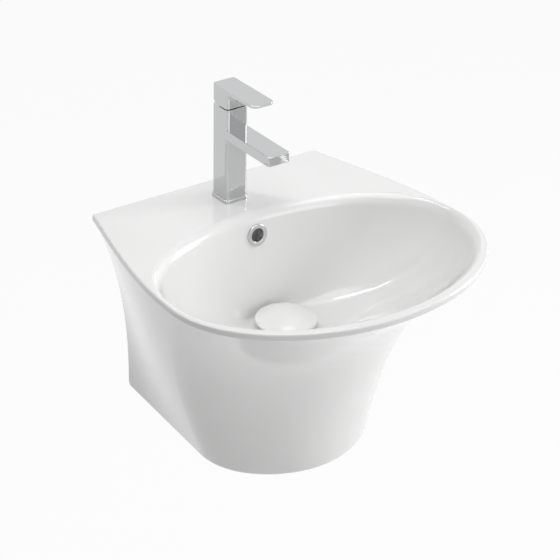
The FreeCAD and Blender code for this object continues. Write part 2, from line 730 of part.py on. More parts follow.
def waste_cap():
    """A ceramic dome, turned in narrow bands, with a boss that takes the stem."""
    rise = CAP_CROWN - CAP_EDGE
    sphere_radius = (CAP_RADIUS ** 2 + rise ** 2) / (2 * rise)
    centre = CAP_UNDERSIDE + CAP_CROWN - sphere_radius
    edge_angle = math.asin((CAP_RADIUS - CAP_ROUNDING) / sphere_radius)
    hole_top = CAP_UNDERSIDE + STEM_IN_CAP
    outline = [(0.0, hole_top), (STEM_RADIUS, hole_top)]
    outline.append((STEM_RADIUS, CAP_UNDERSIDE - CAP_BOSS))
    outline.append((CAP_BOSS_RADIUS, CAP_UNDERSIDE - CAP_BOSS))
    outline.append((CAP_BOSS_RADIUS, CAP_UNDERSIDE))
    outline.append((CAP_RADIUS - CAP_ROUNDING / 2.0, CAP_UNDERSIDE))
    outline.append((CAP_RADIUS, CAP_UNDERSIDE + CAP_ROUNDING / 2.0))
    outline.append((CAP_RADIUS, CAP_UNDERSIDE + CAP_EDGE - CAP_ROUNDING))
    for band in range(CAP_BANDS, -1, -1):
        turn = edge_angle * band / CAP_BANDS
        outline.append((sphere_radius * math.sin(turn), centre + sphere_radius * math.cos(turn)))
    return turned(outline, DRAIN_OUT)


def waste_cap_seal():
    low = CAP_UNDERSIDE - CAP_SEAL
    return tube(CAP_SEAL_RADIUS, CAP_SEAL_INNER, low, CAP_UNDERSIDE, DRAIN_OUT)


# ---- tap ----

def square_bar(side, corner, bottom, top):
    """An upright square bar on the tap's axis with rounded corners."""
    half = side / 2.0
    bar_shape = block(half, TAP_OUT - half, TAP_OUT + half, bottom, top)
    return bar_shape.makeFillet(corner, upright_edges(bar_shape, lambda centre: True))


def tap_base_gasket():
    inner = TAP_HOLE_RADIUS + 0.3
    return tube(inner + GASKET_RING, inner, 0.0, GASKET_THICKNESS, TAP_OUT)


def tap_base_plate():
    plate = square_bar(BASE_SIDE, TAP_CORNER + OVERSHOOT, 0.0, BASE_HEIGHT)
    top = at(0, 0, BASE_HEIGHT).z
    rim = [edge for edge in plate.Edges if edge.BoundBox.ZMin > top - 0.01]
    plate = plate.makeChamfer(BASE_EDGE, rim)
    plate = plate.cut(post(BASE_HOLE_RADIUS, -OVERSHOOT, BASE_HEIGHT + OVERSHOOT, TAP_OUT))
    groove = TAP_HOLE_RADIUS + 0.3 + GASKET_RING
    return plate.cut(post(groove, -OVERSHOOT, GASKET_THICKNESS, TAP_OUT))


def port_places():
    """Where the cartridge's three ports lie: (x, forward, radius)."""
    return [
        (-INLET_SIDE, -INLET_BACK, INLET_RADIUS),
        (INLET_SIDE, -INLET_BACK, INLET_RADIUS),
        (0.0, OUTLET_FORWARD, OUTLET_RADIUS),
    ]


def tap_body():
    column = square_bar(TAP_SIDE, TAP_CORNER, BASE_HEIGHT, BODY_TOP)
    spout = block(TAP_HALF, TAP_OUT, TAP_OUT + SPOUT_REACH, SPOUT_BOTTOM, SPOUT_TOP)
    tip = at(0, TAP_OUT + SPOUT_REACH, 0).y
    spout = spout.makeFillet(SPOUT_CORNER, upright_edges(spout, lambda centre: centre.y < tip + 1.0))
    soft = []
    for edge in spout.Edges:
        box = edge.BoundBox
        if box.ZLength < 0.01 and box.YMin < tip + SPOUT_REACH - TAP_HALF - SPOUT_EDGE_START:
            soft.append(edge)
    spout = spout.makeFillet(SPOUT_EDGE, soft)
    body = column.fuse(spout)

    cuts = [post(CARTRIDGE_RADIUS + CARTRIDGE_CLEARANCE, POCKET_FLOOR, BODY_TOP + OVERSHOOT, TAP_OUT)]
    cuts.append(post(NUT_RADIUS + THREAD_CLEARANCE, CARTRIDGE_TOP, BODY_TOP + OVERSHOOT, TAP_OUT))
    for side in (-1, 1):
        x = side * INLET_SIDE
        out = TAP_OUT - INLET_BACK
        cuts.append(post(INLET_RADIUS, BASE_HEIGHT - OVERSHOOT, POCKET_FLOOR + OVERSHOOT, out, x))
        thread_top = BASE_HEIGHT + INLET_THREAD_DEPTH
        cuts.append(post(INLET_THREAD_RADIUS, BASE_HEIGHT - OVERSHOOT, thread_top, out, x))
    cuts.append(post(OUTLET_RADIUS, WATERWAY_HEIGHT, POCKET_FLOOR + OVERSHOOT, TAP_OUT + OUTLET_FORWARD))
    cuts.append(
        rod_out(
            WATERWAY_RADIUS,
            TAP_OUT + OUTLET_FORWARD - WATERWAY_RADIUS,
            TAP_OUT + AERATOR_FORWARD,
            0,
            WATERWAY_HEIGHT,
        )
    )
    recess_top = SPOUT_BOTTOM + AERATOR_RECESS
    aerator_out = TAP_OUT + AERATOR_FORWARD
    cuts.append(post(AERATOR_RADIUS + THREAD_CLEARANCE, SPOUT_BOTTOM - OVERSHOOT, recess_top, aerator_out))
    stud_out = TAP_OUT + TAP_STUD_FORWARD
    cuts.append(post(TAP_STUD_RADIUS, BASE_HEIGHT - OVERSHOOT, BASE_HEIGHT + TAP_STUD_IN_BODY, stud_out))
    return body.cut(cuts)


def aerator_housing():
    out = TAP_OUT + AERATOR_FORWARD
    low = SPOUT_BOTTOM - AERATOR_PROUD
    ring = tube(AERATOR_RADIUS, AERATOR_BORE, low, SPOUT_BOTTOM + AERATOR_RECESS - 1.0, out)
    lip = tube(AERATOR_RADIUS - 0.5, AERATOR_BORE - AERATOR_LIP, low, low + 1.0, out)
    return ring.fuse(lip).removeSplitter()


def aerator_insert():
    """The round grid that mixes air into the water."""
    out = TAP_OUT + AERATOR_FORWARD
    low = SPOUT_BOTTOM - AERATOR_PROUD + 1.0
    insert = post(AERATOR_BORE - THREAD_CLEARANCE, low, SPOUT_BOTTOM + AERATOR_RECESS - 2.0, out)
    holes = []
    reach = int(AERATOR_BORE / AERATOR_HOLE_PITCH)
    for row in range(-reach, reach + 1):
        for column in range(-reach, reach + 1):
            x = AERATOR_HOLE_PITCH * column
            forward = AERATOR_HOLE_PITCH * row
            if math.hypot(x, forward) < AERATOR_BORE - AERATOR_LIP - AERATOR_HOLE:
                holes.append(hexagon(AERATOR_HOLE, 4.0, at(x, out + forward, low - OVERSHOOT), UP))
    return insert.cut(holes)


def cartridge_seals():
    rings = []
    for x, forward, radius in port_places():
        out = TAP_OUT + forward
        rings.append(tube(radius + PORT_SEAL_WALL, radius, POCKET_FLOOR, CARTRIDGE_BOTTOM, out, x))
    return Part.makeCompound(rings)


def cartridge_housing():
    housing = post(CARTRIDGE_RADIUS, CARTRIDGE_BOTTOM, CARTRIDGE_TOP, TAP_OUT)
    floor = CARTRIDGE_BOTTOM + CARTRIDGE_FLOOR
    housing = housing.cut(post(ROTOR_RADIUS + ROTOR_CLEARANCE, floor, CARTRIDGE_TOP + OVERSHOOT, TAP_OUT))
    for x, forward, radius in port_places():
        port = post(radius, CARTRIDGE_BOTTOM - OVERSHOOT, floor + OVERSHOOT, TAP_OUT + forward, x)
        housing = housing.cut(port)
    return housing


def cartridge_nut():
    top = BODY_TOP - NUT_BELOW_TOP
    nut = tube(NUT_RADIUS, NUT_LIP_BORE, CARTRIDGE_TOP, top, TAP_OUT)
    return nut.cut(post(NUT_BORE, CARTRIDGE_TOP + NUT_LIP, top + OVERSHOOT, TAP_OUT))


def stem_sweep(distance):
    """How far the lever's stem leans at a distance from its pivot."""
    return distance * math.sin(math.radians(LEVER_TILT))


def cartridge_rotor():
    top = CARTRIDGE_TOP - ROTOR_TOP_PLAY
    rotor = post(ROTOR_RADIUS, ROTOR_BOTTOM, top, TAP_OUT)
    axis_out = TAP_OUT - PIVOT_BACK
    near = axis_out - STEM_SIDE / 2.0 - stem_sweep(top - PIVOT_HEIGHT) - OVERSHOOT
    far = axis_out + STEM_SIDE / 2.0 + stem_sweep(LEVER_STEM_BELOW_PIVOT) + OVERSHOOT
    slot = block(STEM_SIDE / 2.0 + STEM_SLOT_CLEARANCE, near, far, ROTOR_BOTTOM - OVERSHOOT, top + OVERSHOOT)
    rotor = rotor.cut(slot)
    return rotor.cut(rod_across(PIN_RADIUS, ROTOR_RADIUS + OVERSHOOT, axis_out, PIVOT_HEIGHT))


def cartridge_pin():
    return rod_across(PIN_RADIUS, PIN_HALF_LENGTH, TAP_OUT - PIVOT_BACK, PIVOT_HEIGHT)


def cartridge_stem():
    half = STEM_SIDE / 2.0
    axis_out = TAP_OUT - PIVOT_BACK
    low = PIVOT_HEIGHT - LEVER_STEM_BELOW_PIVOT
    high = LEVER_STEM_TOP
    stem = block(half, axis_out - half, axis_out + half, low, high)
    return stem.cut(rod_across(PIN_RADIUS + FIT, STEM_SIDE, axis_out, PIVOT_HEIGHT))


def tap_lever():
    back = TAP_OUT - TAP_HALF
    front = TAP_OUT + TAP_HALF
    tip = TAP_OUT + BLADE_REACH
    side = -TAP_HALF
    heel = Part.Arc(
        at(side, back, LEVER_BOTTOM + HEEL_RISE),
        at(side, TAP_OUT - HEEL_MIDDLE, LEVER_BOTTOM + HEEL_MIDDLE_RISE),
        at(side, TAP_OUT - HEEL_START, LEVER_BOTTOM),
    ).toShape()
    outline = [
        at(side, TAP_OUT - HEEL_START, LEVER_BOTTOM),
        at(side, front, LEVER_BOTTOM),
        at(side, front, LEVER_TOP - BLADE_ROOT),
        at(side, tip, LEVER_TOP - BLADE_TIP),
        at(side, tip, LEVER_TOP),
        at(side, back, LEVER_TOP),
        at(side, back, LEVER_BOTTOM + HEEL_RISE),
    ]
    lines = [Part.makeLine(outline[i], outline[i + 1]) for i in range(len(outline) - 1)]
    lever = Part.Face(Part.Wire([heel] + lines)).extrude(ACROSS * TAP_SIDE)
    tip_y = at(0, tip, 0).y
    lever = lever.makeFillet(BLADE_TIP_CORNER, upright_edges(lever, lambda c: c.y < tip_y + 1.0))
    lever = lever.makeFillet(TAP_CORNER, upright_edges(lever, lambda c: c.y > tip_y + BLADE_TIP_CORNER + 1.0))
    top = at(0, 0, LEVER_TOP).z
    rim = [edge for edge in lever.Edges if edge.BoundBox.ZMin > top - 0.01]
    lever = lever.makeFillet(LEVER_EDGE, rim)

    half = STEM_SIDE / 2.0
    axis_out = TAP_OUT - PIVOT_BACK
    stem_top = LEVER_STEM_TOP
    lever = lever.cut(block(half, axis_out - half, axis_out + half, LEVER_BOTTOM - OVERSHOOT, stem_top))
    lever = lever.cut(rod_out(GRUB_RADIUS, axis_out + half, front + OVERSHOOT, 0, GRUB_HEIGHT))
    return lever.cut(rod_out(INDEX_RADIUS, front - INDEX_THICKNESS, front + OVERSHOOT, 0, GRUB_HEIGHT))


def lever_grub_screw():
    start = TAP_OUT - PIVOT_BACK + STEM_SIDE / 2.0
    screw = rod_out(GRUB_RADIUS, start, start + GRUB_LENGTH, 0, GRUB_HEIGHT)
    socket_start = at(0, start + GRUB_LENGTH * 2 / 3.0, GRUB_HEIGHT)
    socket = hexagon(GRUB_RADIUS, GRUB_LENGTH / 3.0, socket_start, OUTWARD)
    return screw.cut(socket)


def index_plug():
    front = TAP_OUT + TAP_HALF
    return rod_out(INDEX_RADIUS, front - INDEX_THICKNESS, front + 0.3, 0, GRUB_HEIGHT)


# ---- tap fixing ----

def tap_stud():
    low = -RIM_THICKNESS - TAP_STUD_BELOW_DECK
    return post(TAP_STUD_RADIUS, low, BASE_HEIGHT + TAP_STUD_IN_BODY, TAP_OUT + TAP_STUD_FORWARD)


def horseshoe(top, thickness):
    """A round plate with a slot to the wall for the supply hoses, and a stud hole."""
    plate = post(HORSESHOE_RADIUS, top - thickness, top, TAP_OUT)
    slot_front = TAP_OUT + TAP_STUD_FORWARD - TAP_STUD_RADIUS - STUD_CUSHION
    slot = block(
        HORSESHOE_SLOT / 2.0,
        TAP_OUT - HORSESHOE_RADIUS - OVERSHOOT,
        slot_front,
        top - thickness - OVERSHOOT,
        top + OVERSHOOT,
    )
    plate = plate.cut(slot)
    stud_out = TAP_OUT + TAP_STUD_FORWARD
    return plate.cut(post(TAP_STUD_RADIUS + FIT, top - thickness - OVERSHOOT, top + OVERSHOOT, stud_out))


def horseshoe_rubber():
    return horseshoe(-RIM_THICKNESS, HORSESHOE_RUBBER)


def horseshoe_plate():
    return horseshoe(-RIM_THICKNESS - HORSESHOE_RUBBER, HORSESHOE_PLATE)


def stud_nut():
    top = -RIM_THICKNESS - HORSESHOE_RUBBER - HORSESHOE_PLATE
    out = TAP_OUT + TAP_STUD_FORWARD
    blank = hexagon(STUD_NUT_FLATS, STUD_NUT_HEIGHT, at(0, out, top - STUD_NUT_HEIGHT), UP)
    low = top - STUD_NUT_HEIGHT - OVERSHOOT
    return blank.cut(post(TAP_STUD_RADIUS + THREAD_CLEARANCE, low, top + OVERSHOOT, out))


NODES = {
    "basin": basin,
    "overflow_ring": overflow_ring,
    "wall_bolts": lambda: both_sides(wall_bolt),
    "bolt_bushes": lambda: both_sides(bolt_bush),
    "bolt_washers": lambda: both_sides(bolt_washer),
    "bolt_nuts": lambda: both_sides(bolt_nut),
    "waste_body": waste_body,
    "waste_top_seal": waste_top_seal,
    "waste_bottom_seal": waste_bottom_seal,
    "waste_back_nut": waste_back_nut,
    "waste_guide": waste_guide,
    "waste_spring": waste_spring,
    "waste_stem": waste_stem,
    "waste_cap": waste_cap,
    "waste_cap_seal": waste_cap_seal,
    "tap_base_gasket": tap_base_gasket,
    "tap_base_plate": tap_base_plate,
    "tap_body": tap_body,
    "aerator_housing": aerator_housing,
    "aerator_insert": aerator_insert,
    "cartridge_seals": cartridge_seals,
    "cartridge_housing": cartridge_housing,
    "cartridge_nut": cartridge_nut,
    "cartridge_rotor": cartridge_rotor,
    "cartridge_pin": cartridge_pin,
    "cartridge_stem": cartridge_stem,
    "tap_lever": tap_lever,
    "lever_grub_screw": lever_grub_screw,
    "index_plug": index_plug,
    "tap_stud": tap_stud,
    "horseshoe_rubber": horseshoe_rubber,
    "horseshoe_plate": horseshoe_plate,
    "stud_nut": stud_nut,
}

for node, make in NODES.items():
    shape = make()
    print(node, len(shape.Solids), shape.isValid(), round(shape.Volume))
    shape.exportStep("parts/" + node + ".step")
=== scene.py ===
import json
import math

import bmesh
import bpy
from bpy.props import FloatProperty, FloatVectorProperty, PointerProperty
from mathutils import Matrix, Vector


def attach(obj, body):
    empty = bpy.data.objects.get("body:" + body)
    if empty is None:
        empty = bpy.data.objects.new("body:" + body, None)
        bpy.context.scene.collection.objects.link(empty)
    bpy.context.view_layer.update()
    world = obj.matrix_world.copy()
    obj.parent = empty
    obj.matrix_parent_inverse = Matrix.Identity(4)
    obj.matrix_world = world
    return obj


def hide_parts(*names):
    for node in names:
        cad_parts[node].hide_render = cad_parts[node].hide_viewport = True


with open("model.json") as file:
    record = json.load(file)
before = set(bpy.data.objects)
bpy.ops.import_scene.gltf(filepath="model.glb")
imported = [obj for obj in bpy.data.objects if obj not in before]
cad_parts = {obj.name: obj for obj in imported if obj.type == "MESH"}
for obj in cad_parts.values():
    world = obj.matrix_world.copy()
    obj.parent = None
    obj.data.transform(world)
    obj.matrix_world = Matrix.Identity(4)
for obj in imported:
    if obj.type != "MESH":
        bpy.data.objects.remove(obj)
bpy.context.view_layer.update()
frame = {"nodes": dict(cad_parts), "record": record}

bl_info = {
    "name": "Wall hung basin",
    "version": (1, 0, 0),
    "blender": (4, 5, 0),
    "location": "View3D > Sidebar > Basin",
    "description": "Builds a wall hung basin with its tap and waste around the packed frame",
    "category": "Object",
}

# Metres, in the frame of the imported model: X right along the wall, Y into the wall, Z up.
# "Out" is a distance from the wall, and heights are measured from the top of the deck.
UP = Vector((0.0, 0.0, 1.0))
OUTWARD = Vector((0.0, -1.0, 0.0))
# PAST is how far curves and cutters run on behind the wall or over the deck, MARGIN how far a
# cutter passes the face that it cuts, HAIR a very small step, and POINT a radius that counts as none.
PAST = 0.010
MARGIN = 0.001
HAIR = 0.0002
POINT = 1e-7
WELD = 1e-6
# Edges with a sharper turn than this, in degrees, are drawn crisp.
SHARP_ANGLE = 32.0


def length(name, default, description):
    return FloatProperty(name=name, description=description, default=default, unit="LENGTH", precision=4)


def share(name, default, description):
    return FloatProperty(name=name, description=description, default=default)


def colour(name, default, description):
    return FloatVectorProperty(
        name=name, description=description, default=default, size=4, subtype="COLOR", min=0.0, max=1.0
    )


# ---- settings ----

class BasinShape(bpy.types.PropertyGroup):
    deck_height: length("Deck", 0.095, "Height of the deck above the wall bolts")
    rim_at_wall: length("Rim at the wall", 0.183, "Half width of the rim at the wall")
    rim_half: length("Rim", 0.235, "Half of the rim's greatest width")
    rim_widest_out: length("Rim's widest place", 0.273, "Distance out from the wall where the rim is widest")
    rim_front: length("Rim's front", 0.446, "Distance out of the rim's front")
    rim_thick: length("Rim's edge", 0.0102, "Thickness of the rim at its edge")
    rim_round: length("Rim's upper rounding", 0.0030, "Radius of the rim's upper edge")
    rim_under: length("Rim's lower rounding", 0.003, "Radius of the rim's lower edge")
    crease: length("Crease", 0.0005, "Ledge between the rim and the shroud")
    foot_at_wall: length("Foot at the wall", 0.1305, "Half width of the foot at the wall")
    foot_half: length("Foot", 0.130, "Half of the foot's greatest width")
    foot_widest_out: length("Foot's widest place", 0.182, "Distance out where the foot is widest")
    foot_front: length("Foot's front", 0.2815, "Distance out of the foot's front")
    foot_drop: length("Foot's drop at the wall", 0.283, "How far down the foot is at the wall")
    foot_drop_front: length("Foot's drop in front", 0.3125, "How far down the foot is in front")
    foot_round: length("Foot's rounding", 0.0035, "Radius of the foot's outer edge")
    foot_corner: length("Foot's wall corner", 0.011, "Radius of the foot's corner at the wall")
    wall_flare: share("Flare at the wall", 2.4, "How late the shroud's edge at the wall opens")
    width_flare: share("Flare of the width", 1.0, "How late the shroud's width opens")
    front_flare: share("Flare of the front", 2.7, "How late the shroud's front opens")
    belly: share("Belly", 1.35, "How full the sides swell out from the wall")
    foot_side_handle: share("Foot's side curve", 0.60, "Fullness of the foot's side curve")
    foot_front_handle: share("Foot's front curve", 0.46, "Fullness of the foot's front curve")
    shroud_wall: length("Shroud's wall", 0.011, "Thickness of the shroud")
    panel_thick: length("Back panel", 0.012, "Thickness of the back panel")
    panel_drop: length("Back panel's drop", 0.150, "How far down the back panel goes")
    bolt_spacing: length("Wall bolts", 0.180, "Spacing of the wall bolts")
    bolt_hole: length("Bolt holes", 0.009, "Radius of the holes for the wall bolts")


class BowlShape(bpy.types.PropertyGroup):
    back: length("Bowl's back", 0.1187, "Distance out of the bowl's back edge")
    front: length("Bowl's front", 0.428, "Distance out of the bowl's front edge")
    half: length("Bowl", 0.2237, "Half of the bowl's greatest width")
    widest_out: length("Bowl's widest place", 0.2597, "Distance out where the bowl is widest")
    depth: length("Bowl's depth", 0.139, "Depth of the bowl under the deck")
    floor_radius: length("Bowl's floor", 0.048, "Radius of the bowl's flat floor")
    wall: length("Bowl's wall", 0.010, "Thickness of the bowl")
    edge: length("Bowl's edge", 0.014, "Height of the rounded edge of the opening")
    edge_front: length("Bowl's front edge", 0.0080, "Width of that rounding at the sides and in front")
    edge_back: length("Bowl's back edge", 0.016, "Width of that rounding at the back")
    back_handle: share("Back curve", 0.45, "Fullness of the bowl's back")
    corner_handle: share("Corner curve", 0.72, "Fullness of the bowl's back corners")
    drain_out: length("Drain", 0.192, "Distance out of the drain")
    drain_radius: length("Drain hole", 0.023, "Radius of the drain hole")
    seat_radius: length("Drain seat", 0.0345, "Radius of the recess for the waste's flange")
    seat_depth: length("Drain seat's depth", 0.0035, "Depth of that recess")
    hub_radius: length("Hub", 0.038, "Radius of the ceramic hub under the bowl")
    hub_drop: length("Hub's drop", 0.181, "How far down the hub goes")
    chamber_radius: length("Chamber", 0.031, "Radius of the overflow chamber in the hub")
    chamber_top: length("Chamber's top", 0.153, "How far down the chamber starts")
    chamber_bottom: length("Chamber's floor", 0.171, "How far down the chamber ends")
    overflow_drop: length("Overflow", 0.030, "How far down the overflow is")
    overflow_radius: length("Overflow hole", 0.0115, "Radius of the overflow hole")
    overflow_tilt: share("Overflow's tilt", 6.5, "Degrees by which the overflow leans with the bowl's wall")
    ring_radius: length("Overflow ring", 0.0155, "Radius of the ring in the overflow")
    ring_lip: length("Overflow ring's lip", 0.0022, "How far the ring stands out")
    ring_bore: length("Overflow ring's bore", 0.0093, "Radius of the ring's opening")
    ring_tube: length("Overflow ring's neck", 0.007, "Length of the ring's neck in the hole")
    duct_top: length("Channel's top", 0.018, "How far down the overflow channel starts")
    duct_depth: length("Channel's depth", 0.012, "Depth of the overflow channel")
    duct_half: length("Channel", 0.013, "Half width of the overflow channel")
    duct_wall: length("Channel's wall", 0.008, "Thickness round the channel")


class TapShape(bpy.types.PropertyGroup):
    out: length("Tap", 0.0557, "Distance of the tap's axis from the wall")
    hole: length("Tap hole", 0.016, "Radius of the tap hole")
    side: length("Body", 0.0345, "Width of the square body")
    corner: length("Body's corners", 0.0045, "Radius of the body's upright corners")
    edge: length("Crisp edges", 0.0004, "Radius of the body's crisp edges")
    base_side: length("Base plate", 0.0376, "Width of the base plate")
    base_height: length("Base plate's height", 0.0053, "Height of the base plate")
    base_edge: length("Base plate's edge", 0.0014, "Width of the base plate's sloped upper edge")
    base_bore: length("Base plate's bore", 0.015, "Radius of the base plate's bore")
    body_top: length("Body's top", 0.1373, "Height of the body's top")
    spout_top: length("Spout's top", 0.1081, "Height of the spout's top")
    spout_thick: length("Spout", 0.0138, "Thickness of the spout")
    spout_reach: length("Spout's reach", 0.1145, "Length of the spout from the tap's axis")
    spout_corner: length("Spout's corners", 0.004, "Radius of the corners at the spout's end")
    spout_edge: length("Spout's edges", 0.0012, "Radius of the spout's edges")
    aerator_in: length("Aerator", 0.017, "Distance of the aerator from the spout's end")
    aerator_radius: length("Aerator's radius", 0.01185, "Radius of the recess for the aerator")
    aerator_recess: length("Aerator's recess", 0.009, "Depth of that recess")
    pocket_radius: length("Cartridge pocket", 0.0126, "Radius of the cartridge's pocket")
    pocket_floor: length("Pocket's floor", 0.112, "Height of the pocket's floor")
    nut_radius: length("Nut's seat", 0.01455, "Radius of the seat of the cartridge's nut")
    nut_seat: length("Nut's seat height", 0.1328, "Height of that seat")
    lever_gap: length("Gap", 0.0015, "Gap between the body and the lever")
    lever_top: length("Lever's top", 0.1665, "Height of the lever's top")
    blade_reach: length("Blade's reach", 0.0795, "Length of the lever's blade from the tap's axis")
    blade_root: length("Blade's root", 0.0055, "Thickness of the blade at the block")
    blade_tip: length("Blade's tip", 0.003, "Thickness of the blade at its end")
    blade_corner: length("Blade's corners", 0.009, "Radius of the blade's corners")
    lever_edge: length("Lever's edge", 0.0008, "Radius of the lever's upper edge")
    heel_start: length("Heel's start", 0.0045, "Where the heel begins, behind the tap's axis")
    heel_middle: length("Heel's middle", 0.0105, "A point of the heel's curve, behind the axis")
    heel_middle_rise: length("Heel's middle rise", 0.0024, "How high the heel is there")
    heel_rise: length("Heel's rise", 0.008, "How high the heel is at the back")
    pivot_back: length("Pivot", 0.003, "How far the pivot lies behind the tap's axis")
    stem_side: length("Stem", 0.006, "Width of the square stem")
    stem_top: length("Stem's top", 0.1545, "Height of the stem's top")
    grub_height: length("Index plug", 0.150, "Height of the index plug")
    index_radius: length("Index plug's radius", 0.003, "Radius of the index plug")
    index_depth: length("Index plug's depth", 0.0014, "Depth of the index plug's seat")


class WasteShape(bpy.types.PropertyGroup):
    cap_radius: length("Cap", 0.042, "Radius of the waste's cap")
    cap_low: length("Cap's underside", -0.1282, "Height of the cap's underside")
    cap_crown: length("Cap's crown", 0.012, "Height of the cap's crown over its underside")
    cap_edge: length("Cap's edge", 0.004, "Height of the cap's edge")
    cap_round: length("Cap's rounding", 0.0015, "Radius of the cap's edge")
    boss_radius: length("Boss", 0.008, "Radius of the boss under the cap")
    boss: length("Boss's height", 0.0057, "Height of the boss under the cap")
    stem_radius: length("Stem", 0.0043, "Radius of the waste's stem")
    tube_radius: length("Waste", 0.02095, "Radius of the waste's tube")
    tube_bore: length("Waste's bore", 0.0185, "Radius of the waste's bore")
    flange_radius: length("Flange", 0.033, "Radius of the waste's flange")
    flange_top: length("Flange's top", -0.1388, "Height of the flange's top")
    flange: length("Flange's thickness", 0.0025, "Thickness of the flange")
    funnel: length("Funnel", 0.025, "Radius of the funnel in the flange")
    tube_end: length("Waste's end", -0.2313, "Height of the waste's lower end")
    slot_width: length("Slots", 0.013, "Width of the slots in the tube")
    slot_margin: length("Slots' margin", 0.003, "Space between a slot and the chamber's floor and roof")
    thread_pitch: length("Tube's thread", 0.00231, "Pitch of the thread on the tube")
    thread_depth: length("Thread's depth", 0.0008, "Depth of the thread on the tube")


class FixingShape(bpy.types.PropertyGroup):
    bolt_radius: length("Wall bolt", 0.005, "Radius of a wall bolt")
    bolt_in_wall: length("Bolt in the wall", 0.070, "Length of a bolt in the wall")
    bolt_in_room: length("Bolt in the room", 0.036, "Length of a bolt in front of the wall")
    bolt_point: length("Bolt's point", 0.009, "Length of a bolt's point")
    machine_radius: length("Machine thread", 0.0049, "Radius of a bolt's machine thread")
    neck_radius: length("Bolt's neck", 0.0043, "Radius of a bolt's plain neck")
    neck_start: length("Neck's start", 0.009, "Where the neck starts in the wall")
    neck: length("Neck's length", 0.008, "Length of the neck")
    bolt_pitch: length("Bolt's thread", 0.0015, "Pitch of a bolt's machine thread")
    screw_pitch: length("Screw thread", 0.0036, "Pitch of a bolt's screw thread")
    nut_flats: length("Nut", 0.017, "Width of a nut across its flats")
    nut_height: length("Nut's height", 0.008, "Height of a nut")
    washer_face: length("Washer's face", 0.0175, "Distance of the washer's face from the wall")
    stud_radius: length("Tap stud", 0.004, "Radius of the tap's stud")
    stud_forward: length("Tap stud's place", 0.010, "How far the stud lies in front of the tap's axis")
    stud_low: length("Stud's end", -0.0482, "Height of the stud's lower end")
    stud_high: length("Stud's top", 0.0173, "Height of the stud's upper end")
    stud_pitch: length("Stud's thread", 0.00125, "Pitch of the stud's thread")


class Finishes(bpy.types.PropertyGroup):
    glaze: colour("Glaze", (0.90, 0.90, 0.895, 1.0), "Colour of the glazed ceramic")
    chrome: colour("Chrome", (0.56, 0.565, 0.57, 1.0), "Colour of the chrome plate")
    brass: colour("Brass", (0.72, 0.53, 0.25, 1.0), "Colour of the turned brass")
    zinc: colour("Zinc", (0.56, 0.57, 0.58, 1.0), "Colour of the zinc plated steel")
    wire: colour("Stainless steel", (0.50, 0.51, 0.52, 1.0), "Colour of the stainless steel")
    white_plastic: colour("White plastic", (0.78, 0.78, 0.75, 1.0), "Colour of the white plastic")
    grey_plastic: colour("Grey plastic", (0.20, 0.21, 0.22, 1.0), "Colour of the grey plastic")
    rubber: colour("Rubber", (0.022, 0.022, 0.022, 1.0), "Colour of the rubber")
    plug: colour("Index plug", (0.46, 0.47, 0.48, 1.0), "Colour of the index plug")
    hot: colour("Hot mark", (0.45, 0.05, 0.04, 1.0), "Colour of the hot mark")
    cold: colour("Cold mark", (0.02, 0.06, 0.45, 1.0), "Colour of the cold mark")


class StageSettings(bpy.types.PropertyGroup):
    lens: FloatProperty(name="Lens", description="Focal length on a 36 mm sensor", default=154.3)
    distance: length("Camera", 3.288, "Distance of the camera from its aim point")
    yaw: share("Yaw", 35.695, "Degrees by which the camera looks to the right of the wall's normal")
    pitch: share("Pitch", 28.673, "Degrees by which the camera looks down")
    roll: share("Roll", 1.049, "Degrees by which the camera is rolled")
    aim: FloatVectorProperty(
        name="Aim",
        description="The point that the camera looks at",
        default=(0.0460, -0.1119, -0.0221),
        subtype="XYZ",
        unit="LENGTH",
    )
    floor: length("Floor", -0.755, "Height of the floor under a basin hung at 850 mm")
    horizon: share("World's horizon", 0.20, "Strength of the world's light at the horizon")
    zenith: share("World's zenith", 0.35, "Strength of the world's light overhead")
    overhead: share("Overhead light", 22.0, "Power of the large light overhead")
    front: share("Front light", 10.0, "Power of the large light in front at the right")
    side: share("Side light", 31.0, "Power of the tall light at the right")
    strip: share("Strip light", 5.3, "Power of the narrow light overhead")
    white: share("White floor", 0.93, "How far the floor is seen as white")


def shape_of(name):
    """The settings of one group, by its name in the scene."""
    return getattr(bpy.context.scene, name)


def at(x, out, height):
    """A point given across, out from the wall and above the deck."""
    return Vector((x, -out, height + shape_of("basin_shape").deck_height))


def blend(low, high, amount):
    """The value between low (0) and high (1)."""
    return low + (high - low) * amount


# ---- mesh helpers ----

def make_object(name, mesh):
    """Put a mesh into the scene as an object."""
    piece = bpy.data.objects.new(name, mesh)
    bpy.context.scene.collection.objects.link(piece)
    return piece


def mesh_from(name, points, faces):
    """An object from points and faces, with its faces turned outward."""
    mesh = bpy.data.meshes.new(name)
    mesh.from_pydata([tuple(p) for p in points], [], faces)
    mesh.validate()
    bm = bmesh.new()
    bm.from_mesh(mesh)
    bmesh.ops.recalc_face_normals(bm, faces=bm.faces)
    bm.to_mesh(mesh)
    bm.free()
    return make_object(name, mesh)


def stacked(name, rings, capped=True):
    """A solid through closed rings of equal count, capped at both ends."""
    count = len(rings[0])
    points = [p for ring in rings for p in ring]
    faces = []
    for row in range(len(rings) - 1):
        for i in range(count):
            j = (i + 1) % count
            a, b = row * count, (row + 1) * count
            faces.append((a + i, a + j, b + j, b + i))
    if capped:
        faces.append(tuple(range(count)))
        faces.append(tuple(range((len(rings) - 1) * count, len(rings) * count)))
    return mesh_from(name, points, faces)


def ring_round(radius, centre, axis, segments):
    """A circle of points round an axis."""
    side = axis.orthogonal().normalized()
    other = axis.cross(side)
    ring = []
    for step in range(segments):
        turn = 2.0 * math.pi * step / segments
        ring.append(centre + (side * math.cos(turn) + other * math.sin(turn)) * radius)
    return ring


